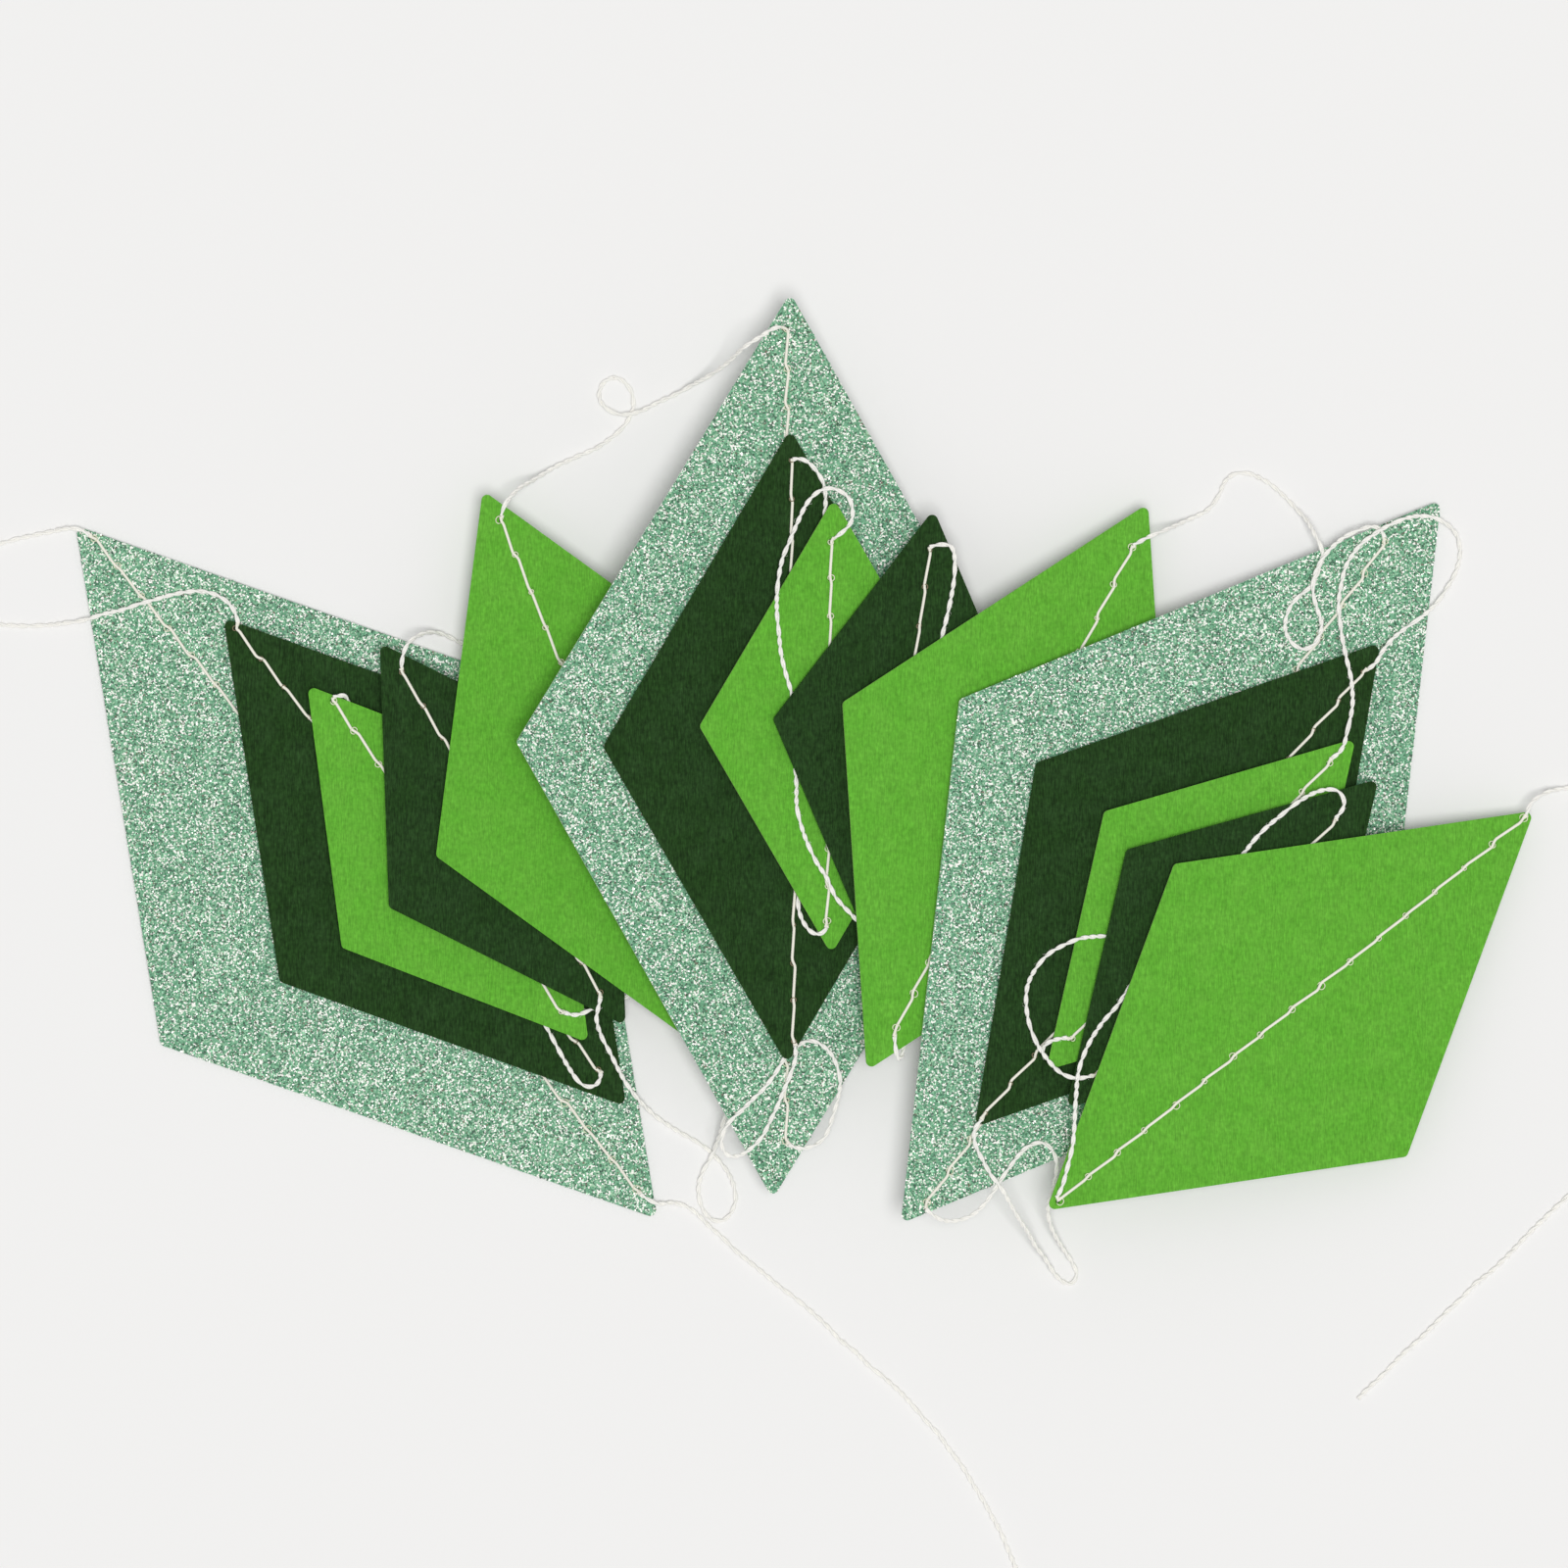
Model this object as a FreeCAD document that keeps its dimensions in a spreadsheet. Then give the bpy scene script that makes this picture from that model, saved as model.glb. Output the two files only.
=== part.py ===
# Garland of die-cut card diamonds on one sewing thread, folded on a table into three fans.
# Millimetres. +Z is up from the table, +X runs along the row of fans.
import FreeCAD, Part
import os
import Sketcher
from itertools import combinations
from math import cos, pi, radians, sin, tan

V = FreeCAD.Vector

# Driving dimensions. Each one becomes a named cell of the sheet "sizes".
SIZES = {
    "large_length": 96.2,        # tip to tip, over the rounded points
    "medium_length": 67.0,
    "small_length": 47.8,
    "tip_angle": 61.4,           # degrees, the same die shape in all three sizes
    "corner_radius": 0.6,
    "glitter_thickness": 0.4,    # card with its coat of glitter
    "plain_thickness": 0.3,
    "stitch_length": 4.1,        # what the machine is set to; a row rounds it to whole stitches
    "needle_hole": 0.8,          # diameter that the needle leaves in card
    "thread_diameter": 0.3,      # one sewing thread
    "lock_clearance": 0.05,      # each thread stays this far from the middle of the card in a hole
    "pair_diameter": 0.45,       # needle and bobbin thread twisted together, as one round section
    "lay_clearance": 0.02,       # between a card's face and the thread that lies on it
    "coil_diameter": 5.2,        # at the middle of the turns of the put-away start lead
    "coil_turns": 2.5,
    "coil_pitch": 0.5,           # from one turn to the next, side by side on the table
}

BEND_SHARE = 0.3                 # of a needle hole: from its middle to where a stitch bends down
ARC_SHARE = 0.45                 # of the shorter of two runs: how much of it their arc takes up
COIL_ROUNDING = 0.4              # share of the pair's diameter
HOLE_TOLERANCE = 0.01            # of one hole's volume
NO_AREA = 1e-6                   # square millimetres
TOUCHING = 1e-6                  # millimetres

# How each kind of card is cut: the cells with its length and its thickness.
KINDS = {
    "large": ("large_length", "glitter_thickness"),
    "medium": ("medium_length", "plain_thickness"),
    "small": ("small_length", "plain_thickness"),
}

# The cards from the bottom of the stack to the top, which is also their order along the thread.
# kind; centre x and y; heading of the tip that points away from the fans' near side, in degrees;
# the seam's end holes: how far in from the rounded tip and how far to the left of the long axis,
# first at the top tip, then at the foot.
CARD_PLACES = ("x", "y", "heading", "top_inset", "top_side", "foot_inset", "foot_side")
CARDS = {
    "left_glitter": ("large", -47.1, -12.1, 130.0, 1.6, -0.6, 3.1, -0.4),
    "left_dark": ("medium", -40.8, -11.0, 129.5, 1.2, -0.3, 4.3, -0.2),
    "left_light_small": ("small", -38.3, -11.2, 128.2, 2.4, -1.1, 4.0, 0.2),
    "left_dark_small": ("small", -32.4, -8.0, 122.7, 3.5, -0.3, 3.8, 0.4),
    "left_light": ("medium", -21.0, -2.3, 113.4, 3.2, -0.5, 2.3, 0.1),
    "centre_glitter": ("large", -2.5, 1.5, 88.9, 3.3, 0.3, 5.8, -1.3),
    "centre_dark": ("medium", -1.7, 1.4, 89.7, 2.6, -0.1, 2.0, -0.7),
    "centre_light_small": ("small", 3.0, 3.6, 89.7, 4.0, 0.3, 2.8, 0.5),
    "centre_dark_small": ("small", 10.8, 2.6, 82.8, 3.7, -0.1, 2.0, 0.2),
    "centre_light": ("medium", 21.8, -2.9, 63.6, 4.6, -0.5, 4.8, -0.8),
    "right_glitter": ("large", 39.4, -10.9, 53.2, 6.8, 2.1, 2.8, -0.9),
    "right_dark": ("medium", 40.1, -13.4, 50.0, 3.0, -0.6, 1.2, 0.1),
    "right_light_small": ("small", 42.6, -15.5, 46.9, 3.4, 0.3, 3.7, 0.3),
    "right_dark_small": ("small", 44.9, -19.7, 46.4, 6.1, 0.3, 4.1, 0.1),
    "right_light": ("medium", 52.2, -26.9, 39.2, 1.0, 0.1, 1.0, 0.0),
}

# The free thread from the start lead to the end lead: what each stretch lies on, then its points
# as x, y and, where it crosses something or climbs, the lift over what it lies on.
ROUTES = {
    "start_thread": [
        ("left_glitter", (-17.6, -46.7), (-16.7, -47.3), (-15.6, -47.8)),
        ("table", (-13.8, -47.6), (-11.8, -48.6), (-9.1, -51.3), (-4.7, -55.1), (0.4, -58.8),
         (4.8, -63.3), (9.7, -67.4), (13.8, -71.7), (17.3, -76.3), (20.2, -81.1), (22.5, -86.1),
         (23.8, -90.4)),
    ],
    "thread_span_01": [
        ("left_glitter", (-76.9, 24.2), (-77.9, 24.9), (-79.4, 25.4)),
        ("table", (-81.3, 24.8), (-83.8, 23.9), (-87.0, 23.2), (-90.1, 22.9), (-92.7, 21.7),
         (-93.9, 19.4), (-93.3, 16.9), (-91.0, 15.2), (-87.8, 14.7), (-84.2, 14.5), (-80.6, 14.5)),
        ("left_glitter", (-77.7, 14.9), (-74.7, 15.9, 0.3), (-71.3, 16.8, 0.34), (-67.8, 17.9, 0.1),
         (-64.8, 18.2), (-62.7, 17.6, 0.5)),
        ("left_dark", (-61.2, 16.3), (-60.9, 14.8)),
    ],
    "thread_span_02": [
        ("left_dark", (-21.8, -33.7), (-21.9, -34.6), (-22.9, -35.2), (-24.2, -34.8), (-25.4, -33.0),
         (-26.8, -30.3), (-28.4, -27.4), (-30.9, -24.7), (-34.2, -22.0), (-37.3, -18.4, 0.32),
         (-39.4, -14.4, 0.32), (-41.2, -9.8, 0.32), (-43.5, -4.2, 0.05), (-45.7, -0.3), (-47.5, 3.1),
         (-48.5, 5.4), (-49.0, 7.3, 0.5)),
        ("left_light_small", (-49.8, 8.0, 0.05), (-50.6, 7.1)),
    ],
    "thread_span_03": [
        ("left_light_small", (-25.7, -27.2), (-24.8, -27.5), (-23.8, -27.2), (-22.4, -26.6),
         (-20.7, -26.4), (-19.0, -25.6), (-18.0, -23.9, 0.3)),
        ("left_dark_small", (-18.0, -21.8), (-19.0, -19.5), (-20.7, -16.3), (-23.0, -12.1),
         (-25.1, -7.3), (-26.9, -2.4), (-28.3, 2.1), (-30.1, 5.6), (-32.1, 8.2)),
        ("table", (-33.8, 10.1, 2.2), (-35.3, 11.7, 0.6), (-37.0, 12.7), (-38.8, 13.6, 0.3),
         (-40.3, 13.8, 1.7), (-41.7, 13.3, 3.2)),
        ("left_dark_small", (-42.7, 12.4, 0.1), (-43.2, 11.1), (-43.3, 9.9)),
    ],
    "thread_span_04": [
        ("left_dark_small", (-21.9, -25.6), (-22.1, -26.7), (-22.3, -28.1)),
        ("left_dark", (-21.9, -29.8, 0.3), (-20.9, -31.6), (-19.9, -33.5), (-18.7, -35.4)),
        ("left_glitter", (-17.3, -37.1, 0.1),),
        ("table", (-15.7, -38.7), (-13.6, -39.9), (-11.1, -41.2), (-9.1, -43.1), (-7.6, -45.3),
         (-7.2, -47.7), (-8.3, -49.6), (-9.9, -49.7), (-11.1, -48.2), (-11.5, -46.0, 0.1),
         (-10.9, -44.1, 0.5), (-9.9, -42.5, 0.6), (-9.1, -40.8, 1.1), (-8.6, -38.9, 2.3),
         (-8.3, -37.0, 3.7)),
        ("left_light", (-8.1, -35.2), (-8.1, -33.5), (-8.3, -32.3), (-8.7, -31.4)),
    ],
    "thread_span_05": [
        ("left_light", (-32.5, 26.2), (-32.3, 27.2), (-31.6, 28.2)),
        ("table", (-30.4, 29.3, 3.6), (-28.8, 30.3, 1.6), (-26.8, 31.5, 0.3), (-24.5, 32.5),
         (-22.4, 33.6), (-20.6, 34.8), (-19.1, 36.1), (-18.3, 37.9), (-18.5, 39.9), (-19.9, 41.3),
         (-21.5, 41.0), (-22.3, 39.5, 0.1), (-21.8, 38.0, 0.4), (-20.1, 37.1, 0.52), (-18.0, 37.4, 0.5),
         (-15.9, 38.3, 0.2), (-13.6, 39.4, 0.4), (-11.4, 40.6, 1.6), (-9.4, 41.8, 3.4),
         (-7.7, 43.1, 5.4)),
        ("centre_glitter", (-6.1, 44.6), (-4.6, 45.5), (-3.3, 46.4), (-2.5, 46.5)),
    ],
    "thread_span_06": [
        ("centre_glitter", (-1.6, -41.3), (-0.9, -41.7), (0.5, -41.7), (2.0, -40.9), (2.9, -39.3),
         (3.5, -37.0), (3.9, -34.6), (3.4, -32.2), (2.3, -30.7), (0.8, -30.1), (-0.7, -30.7, 0.1),
         (-1.7, -31.5, 0.3), (-2.6, -32.7, 0.3), (-3.4, -34.2, 0.05), (-4.6, -35.8), (-6.3, -37.2),
         (-7.7, -38.5), (-8.7, -40.0), (-8.9, -41.6), (-8.1, -42.7), (-6.7, -42.6), (-5.2, -41.4),
         (-4.0, -39.5), (-2.9, -37.4, 0.05), (-2.1, -35.2, 0.34), (-1.4, -33.6, 0.8)),
        ("centre_dark", (-0.9, -32.2), (-0.8, -31.4), (-0.9, -30.7)),
    ],
    "thread_span_07": [
        ("centre_dark", (-1.1, 32.6), (-0.4, 32.6), (0.7, 32.0), (1.6, 30.9), (2.3, 29.3), (2.3, 27.4),
         (1.9, 24.8), (1.2, 21.5), (0.9, 17.2), (1.3, 12.7), (1.1, 8.0), (0.5, 3.2), (0.1, -1.5),
         (0.5, -6.3), (0.3, -10.2), (-0.5, -13.1), (-0.7, -15.5), (-0.2, -17.4, 0.4)),
        ("centre_light_small", (0.8, -18.6), (1.9, -18.7), (2.4, -18.0)),
    ],
    "thread_span_08": [
        ("centre_light_small", (3.3, 23.9), (4.5, 24.7), (5.3, 26.0), (5.2, 27.7), (4.3, 28.8),
         (2.8, 29.3, -0.2)),
        ("centre_dark", (1.3, 28.7, 0.7), (0.1, 27.2, 0.4), (-0.9, 25.3, 0.34), (-1.7, 23.2, 0.45),
         (-2.4, 21.3, 0.8)),
        ("centre_light_small", (-2.8, 19.4), (-3.0, 17.1), (-2.9, 14.5), (-2.6, 11.9), (-2.1, 9.4),
         (-1.3, 7.1), (-0.9, 4.3), (-0.8, 1.4), (-0.9, -1.5), (-0.9, -4.5), (-0.3, -7.3),
         (0.9, -10.0, 0.1), (2.2, -12.4, 0.34), (3.1, -14.2, 0.36), (4.0, -15.5, 0.7)),
        ("centre_dark_small", (4.9, -16.5), (6.0, -17.5), (6.8, -18.2), (7.4, -18.8)),
    ],
    "thread_span_09": [
        ("centre_dark_small", (13.7, 22.9), (14.5, 23.4), (15.5, 22.7), (16.1, 21.1), (16.2, 19.0),
         (15.8, 16.6), (14.9, 13.2), (14.1, 8.5), (13.7, 3.2), (13.0, -2.6), (12.8, -7.9),
         (12.1, -13.1), (11.7, -16.8, 0.03), (11.1, -20.5, -0.1), (10.7, -24.2, -0.3),
         (10.6, -27.5, -0.1), (11.3, -30.2, 0.02), (11.8, -32.1, 0.7)),
        ("centre_light", (10.8, -33.6), (9.7, -33.3), (9.2, -32.0), (9.4, -30.8), (9.7, -29.7)),
    ],
    "thread_span_10": [
        ("centre_light", (35.4, 23.0), (36.5, 23.6), (37.8, 24.2)),
        ("table", (39.2, 24.8, 2.4), (40.7, 25.5, 0.9), (42.3, 26.1, 0.1), (43.7, 26.9), (44.6, 28.4),
         (45.1, 30.0), (46.4, 31.0), (48.3, 30.7), (50.5, 29.5), (52.4, 27.8), (53.8, 26.2, 1.0)),
        ("right_glitter", (54.9, 24.5, 0.1), (55.8, 22.4, 0.05), (55.4, 20.5), (54.7, 18.7),
         (53.2, 17.6), (52.0, 16.1), (51.5, 14.2), (52.4, 12.4, 0.1), (53.9, 11.7, 0.34),
         (55.2, 12.6, 0.36), (55.8, 14.4, 0.36), (55.1, 16.3, 0.5), (54.6, 18.2, 0.54),
         (54.9, 20.2, 0.54), (56.0, 22.2, 0.56), (57.6, 23.6, 0.2), (59.5, 24.6), (61.1, 25.2),
         (62.2, 24.7), (62.4, 23.9)),
    ],
    "thread_span_11": [
        ("right_glitter", (13.1, -48.2), (14.0, -49.2), (15.6, -49.7, -0.4), (17.5, -49.3, -0.4),
         (19.0, -48.1), (20.4, -46.2), (22.0, -43.7), (23.7, -41.7), (25.4, -40.9), (26.6, -41.7),
         (27.2, -43.5, 0.02), (26.9, -45.6, -1.0)),
        ("table", (26.2, -47.7, 5.0), (26.4, -50.1, 3.0), (27.6, -52.4, 1.2), (28.9, -54.1, 0.2),
         (29.5, -55.4), (28.9, -56.6), (27.6, -56.2), (26.2, -54.2, 0.9), (24.6, -51.8, 3.0),
         (23.4, -49.9, 5.2)),
        ("right_glitter", (22.2, -48.0, 0.2), (21.2, -46.1, 0.52), (20.1, -44.5, 0.5),
         (19.0, -42.8, 0.2), (18.3, -41.1, 0.6)),
        ("right_dark", (18.2, -39.7), (18.7, -39.0), (19.0, -38.6)),
    ],
    "thread_span_12": [
        ("right_dark", (60.6, 9.8), (61.5, 10.3), (62.1, 11.5)),
        ("right_glitter", (63.3, 13.0, 0.5), (65.3, 14.6), (67.2, 16.1, 0.06)),
        ("table", (68.9, 17.8, 0.6), (70.3, 20.1), (70.8, 22.5)),
        ("right_glitter", (70.0, 24.7, 0.1), (68.2, 26.1), (66.4, 26.4), (64.6, 25.9, 0.2),
         (63.0, 25.2, 0.52), (61.4, 24.4, 0.52), (59.7, 23.2, 0.2), (58.3, 21.0, 0.1),
         (57.6, 18.6, 0.34), (57.5, 16.2, 0.36), (57.7, 14.2, 0.5)),
        ("right_dark", (58.0, 12.5), (58.5, 10.5, 0.2), (58.8, 8.2, 0.36), (59.0, 6.2, 0.3),
         (58.8, 4.4, 0.2), (58.4, 3.1, 1.1)),
        ("right_light_small", (58.1, 1.8, 0.1), (57.5, 0.8), (56.7, 0.2)),
    ],
    "thread_span_13": [
        ("right_light_small", (28.2, -29.9), (27.2, -30.0), (26.1, -30.4)),
        ("right_dark", (25.5, -31.2, 0.5), (26.0, -32.1), (27.4, -32.1), (29.2, -31.7),
         (30.8, -32.4, 0.3), (32.0, -33.1, 0.8)),
        ("right_light_small", (33.2, -32.7), (34.0, -31.1), (34.5, -28.8, 0.1), (33.8, -26.0, 0.31),
         (33.7, -23.3, 0.31), (34.3, -20.9), (33.9, -19.4), (32.4, -18.8), (30.8, -19.0),
         (29.2, -19.3, 0.12), (27.7, -19.9, -0.1)),
        ("right_dark", (26.2, -20.7, 0.4), (25.0, -22.1), (24.0, -23.9), (23.7, -26.0),
         (24.0, -28.1, 0.1), (24.7, -30.0, 0.9), (25.6, -31.6, 1.2)),
        ("right_light_small", (26.7, -32.9, 0.25), (27.7, -33.7, 1.1)),
        ("right_dark_small", (28.8, -34.2, 0.1), (29.9, -34.2), (30.8, -33.9)),
    ],
    "thread_span_14": [
        ("right_dark_small", (57.2, -6.3), (57.9, -5.5), (58.1, -4.4), (57.5, -3.3), (56.2, -3.1),
         (54.6, -3.5), (52.6, -4.7), (50.5, -6.4), (48.6, -8.2), (46.6, -10.7), (44.1, -12.8),
         (41.4, -15.9), (39.0, -19.3), (36.5, -22.2), (34.3, -25.3), (32.6, -27.5), (31.1, -29.6),
         (29.8, -31.8, 0.3), (29.3, -34.0, 0.5), (29.1, -36.1, 0.8)),
        ("right_light", (29.1, -38.4), (29.0, -40.6), (28.5, -42.8), (28.0, -44.7), (27.5, -46.1),
         (27.1, -46.8)),
    ],
    "end_thread": [
        ("right_light", (77.7, -5.9), (78.0, -4.7), (79.1, -3.9, -0.6)),
        ("table", (80.6, -3.3, 1.0), (82.5, -2.9), (86.3, -2.7), (90.9, -4.0), (94.6, -7.1),
         (97.2, -11.6), (98.4, -16.8), (98.3, -22.6), (96.8, -28.4), (94.1, -33.9), (90.3, -38.8),
         (86.1, -43.1), (82.2, -47.0), (78.7, -50.2), (75.0, -54.1), (71.0, -57.6), (67.4, -61.4),
         (63.3, -65.0), (59.7, -68.8)),
    ],
}


def make_sheet(doc):
    """The sheet of driving dimensions, with one named cell for each."""
    sheet = doc.addObject("Spreadsheet::Sheet", "sizes")
    cells = dict(SIZES)
    for name, card in CARDS.items():
        for place, value in zip(CARD_PLACES, card[1:]):
            cells[name + "_" + place] = value
    for row, (alias, value) in enumerate(cells.items(), 1):
        sheet.set("A%d" % row, alias)
        sheet.set("B%d" % row, str(value))
        sheet.setAlias("B%d" % row, alias)
    doc.recompute()
    return sheet


def size(alias):
    """One cell of the sheet as a plain number."""
    return float(sheet.get(alias))


def card_gap():
    """Room between two cards: one thread's stitches and the twisted pair beside them."""
    return size("thread_diameter") + size("pair_diameter") + 2 * size("lay_clearance")


def thickness(name):
    return size(KINDS[CARDS[name][0]][1])


def half_lengths(name):
    """Half the long and half the short diagonal, to the sharp corners before rounding."""
    half_angle = radians(size("tip_angle") / 2)
    half_long = size(KINDS[CARDS[name][0]][0]) / 2
    half_long += size("corner_radius") * (1 / sin(half_angle) - 1)
    return half_long, half_long * tan(half_angle)


# Resting places: each card lies on the highest props under it.

def outline(name):
    """The card's four corners in plan, anticlockwise from its top tip."""
    half_long, half_short = half_lengths(name)
    heading = radians(size(name + "_heading"))
    x, y = size(name + "_x"), size(name + "_y")
    along = (cos(heading), sin(heading))
    across = (-along[1], along[0])
    return [(x + half_long * along[0], y + half_long * along[1]),
            (x + half_short * across[0], y + half_short * across[1]),
            (x - half_long * along[0], y - half_long * along[1]),
            (x - half_short * across[0], y - half_short * across[1])]


def left_of(p, q, point):
    """Positive where the point is to the left of the line from p to q."""
    return (q[0] - p[0]) * (point[1] - p[1]) - (q[1] - p[1]) * (point[0] - p[0])


def overlap(first, second):
    """Corners of the area that two anticlockwise outlines share."""
    shared = first
    for p, q in zip(second, second[1:] + second[:1]):
        kept = []
        for start, end in zip(shared[-1:] + shared[:-1], shared):
            at_start, at_end = left_of(p, q, start), left_of(p, q, end)
            if (at_start < 0) != (at_end < 0):
                share = at_start / (at_start - at_end)
                kept.append((start[0] + share * (end[0] - start[0]),
                             start[1] + share * (end[1] - start[1])))
            if at_end >= 0:
                kept.append(end)
        shared = kept
        if not shared:
            break
    return shared


def height(plane, x, y):
    """Height of a plane (z at the origin, slope along X, slope along Y) over a point."""
    return plane[0] + plane[1] * x + plane[2] * y


def plane_through(p, q, r):
    """The plane through three points, or None where they stand in one line."""
    area = left_of(p, q, r)
    if abs(area) < NO_AREA:
        return None
    up_q, up_r = q[2] - p[2], r[2] - p[2]
    slope_x = (up_q * (r[1] - p[1]) - up_r * (q[1] - p[1])) / area
    slope_y = (up_r * (q[0] - p[0]) - up_q * (r[0] - p[0])) / area
    return (p[2] - slope_x * p[0] - slope_y * p[1], slope_x, slope_y)


def holds(props, x, y):
    """True where the three props stand around the point."""
    p, q, r = props
    point = (x, y)
    turns = [left_of(p, q, point), left_of(q, r, point), left_of(r, p, point)]
    return min(turns) >= 0 or max(turns) <= 0


def resting_plane(props, x, y):
    """The plane on three props around (x, y) that no other prop stands through."""
    lowest = None
    for three in combinations(props, 3):
        plane = plane_through(*three) if holds(three, x, y) else None
        if plane is None or lowest and height(plane, x, y) >= height(lowest, x, y):
            continue
        if all(height(plane, p[0], p[1]) >= p[2] - TOUCHING for p in props):
            lowest = plane
    return lowest


def lay_cards():
    """Underside plane of each card, laid down in order from the lowest to the highest."""
    planes = {}
    outlines = {name: outline(name) for name in CARDS}
    for name in CARDS:
        props = [(x, y, size("thread_diameter")) for x, y in outlines[name]]
        for lower, plane in planes.items():
            top = thickness(lower) + card_gap()
            props += [(x, y, height(plane, x, y) + top)
                      for x, y in overlap(outlines[name], outlines[lower])]
        planes[name] = resting_plane(props, size(name + "_x"), size(name + "_y"))
    return planes


def card_placement(name, plane):
    """From the card's own frame, long way along X and underside on XY, to where it lies."""
    x, y = size(name + "_x"), size(name + "_y")
    heading = radians(size(name + "_heading"))
    rise = plane[1] * cos(heading) + plane[2] * sin(heading)
    up = V(-plane[1], -plane[2], 1)
    along = V(cos(heading), sin(heading), rise)
    turn = FreeCAD.Rotation(along, up.cross(along), up, "ZXY")
    return FreeCAD.Placement(V(x, y, height(plane, x, y)), turn)


# Card diamonds

def own_plane(body, role):
    return next(part for part in body.Origin.OriginFeatures if part.Role == role)


def new_sketch(body, name):
    sketch = body.newObject("Sketcher::SketchObject", name)
    sketch.AttachmentSupport = (own_plane(body, "XY_Plane"), "")
    sketch.MapMode = "FlatFace"
    return sketch


def constrain(sketch, name, expression, *constraint):
    """A named dimension of a sketch, bound to the sheet."""
    index = sketch.addConstraint(Sketcher.Constraint(*constraint))
    sketch.renameConstraint(index, name)
    sketch.setExpression("Constraints." + name, expression)


def diamond_sketch(body, name):
    """The sharp-cornered die shape: four lines with their corners on the axes."""
    half_long, half_short = half_lengths(name)
    corners = [V(half_long, 0), V(0, half_short), V(-half_long, 0), V(0, -half_short)]
    sketch = new_sketch(body, name + "_die_shape")
    for start, end in zip(corners, corners[1:] + corners[:1]):
        sketch.addGeometry(Part.LineSegment(start, end), False)
    horizontal, vertical = -1, -2
    for line in range(4):
        sketch.addConstraint(Sketcher.Constraint("Coincident", line, 2, (line + 1) % 4, 1))
        axis = horizontal if line % 2 == 0 else vertical
        sketch.addConstraint(Sketcher.Constraint("PointOnObject", line, 1, axis))
    length_cell = KINDS[CARDS[name][0]][0]
    long_way = ("sizes.%s / 2 + sizes.corner_radius * (1 / sin(sizes.tip_angle / 2) - 1)"
                % length_cell)
    short_way = "(%s) * tan(sizes.tip_angle / 2)" % long_way
    constrain(sketch, "half_long", long_way, "DistanceX", -1, 1, 0, 1, half_long)
    constrain(sketch, "half_short", short_way, "DistanceY", -1, 1, 1, 1, half_short)
    constrain(sketch, "other_half_long", long_way, "DistanceX", 2, 1, -1, 1, half_long)
    constrain(sketch, "other_half_short", short_way, "DistanceY", 3, 1, -1, 1, half_short)
    return sketch


def seam_ends(name):
    """End holes of the card's seam in its own frame: at the foot, then at the top."""
    half = size(KINDS[CARDS[name][0]][0]) / 2
    foot = V(size(name + "_foot_inset") - half, size(name + "_foot_side"))
    top = V(half - size(name + "_top_inset"), size(name + "_top_side"))
    return foot, top


def stitch_count(name):
    foot, top = seam_ends(name)
    return round(foot.distanceToPoint(top) / size("stitch_length"))


def hole_sketch(body, name):
    """The needle hole at the foot, and the line of the seam from it to the top hole."""
    foot, top = seam_ends(name)
    half = "sizes.%s / 2" % KINDS[CARDS[name][0]][0]
    cell = "sizes." + name
    sketch = new_sketch(body, name + "_needle_hole")
    sketch.addGeometry(Part.Circle(foot, V(0, 0, 1), size("needle_hole") / 2), False)
    sketch.addGeometry(Part.LineSegment(foot, top), True)
    sketch.addConstraint(Sketcher.Constraint("Coincident", 0, 3, 1, 1))
    constrain(sketch, "radius", "sizes.needle_hole / 2", "Radius", 0, size("needle_hole") / 2)
    constrain(sketch, "foot_x", "%s_foot_inset - %s" % (cell, half),
              "DistanceX", -1, 1, 0, 3, foot.x)
    constrain(sketch, "foot_y", cell + "_foot_side", "DistanceY", -1, 1, 0, 3, foot.y)
    constrain(sketch, "top_x", "%s - %s_top_inset" % (half, cell),
              "DistanceX", -1, 1, 1, 2, top.x)
    constrain(sketch, "top_y", cell + "_top_side", "DistanceY", -1, 1, 1, 2, top.y)
    return sketch


def upright_edges(shape):
    """Names of the edges that run from the underside to the top."""
    names = []
    for number, edge in enumerate(shape.Edges, 1):
        low, high = edge.BoundBox.ZMin, edge.BoundBox.ZMax
        if high - low > shape.BoundBox.ZLength / 2:
            names.append("Edge%d" % number)
    return names


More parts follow.
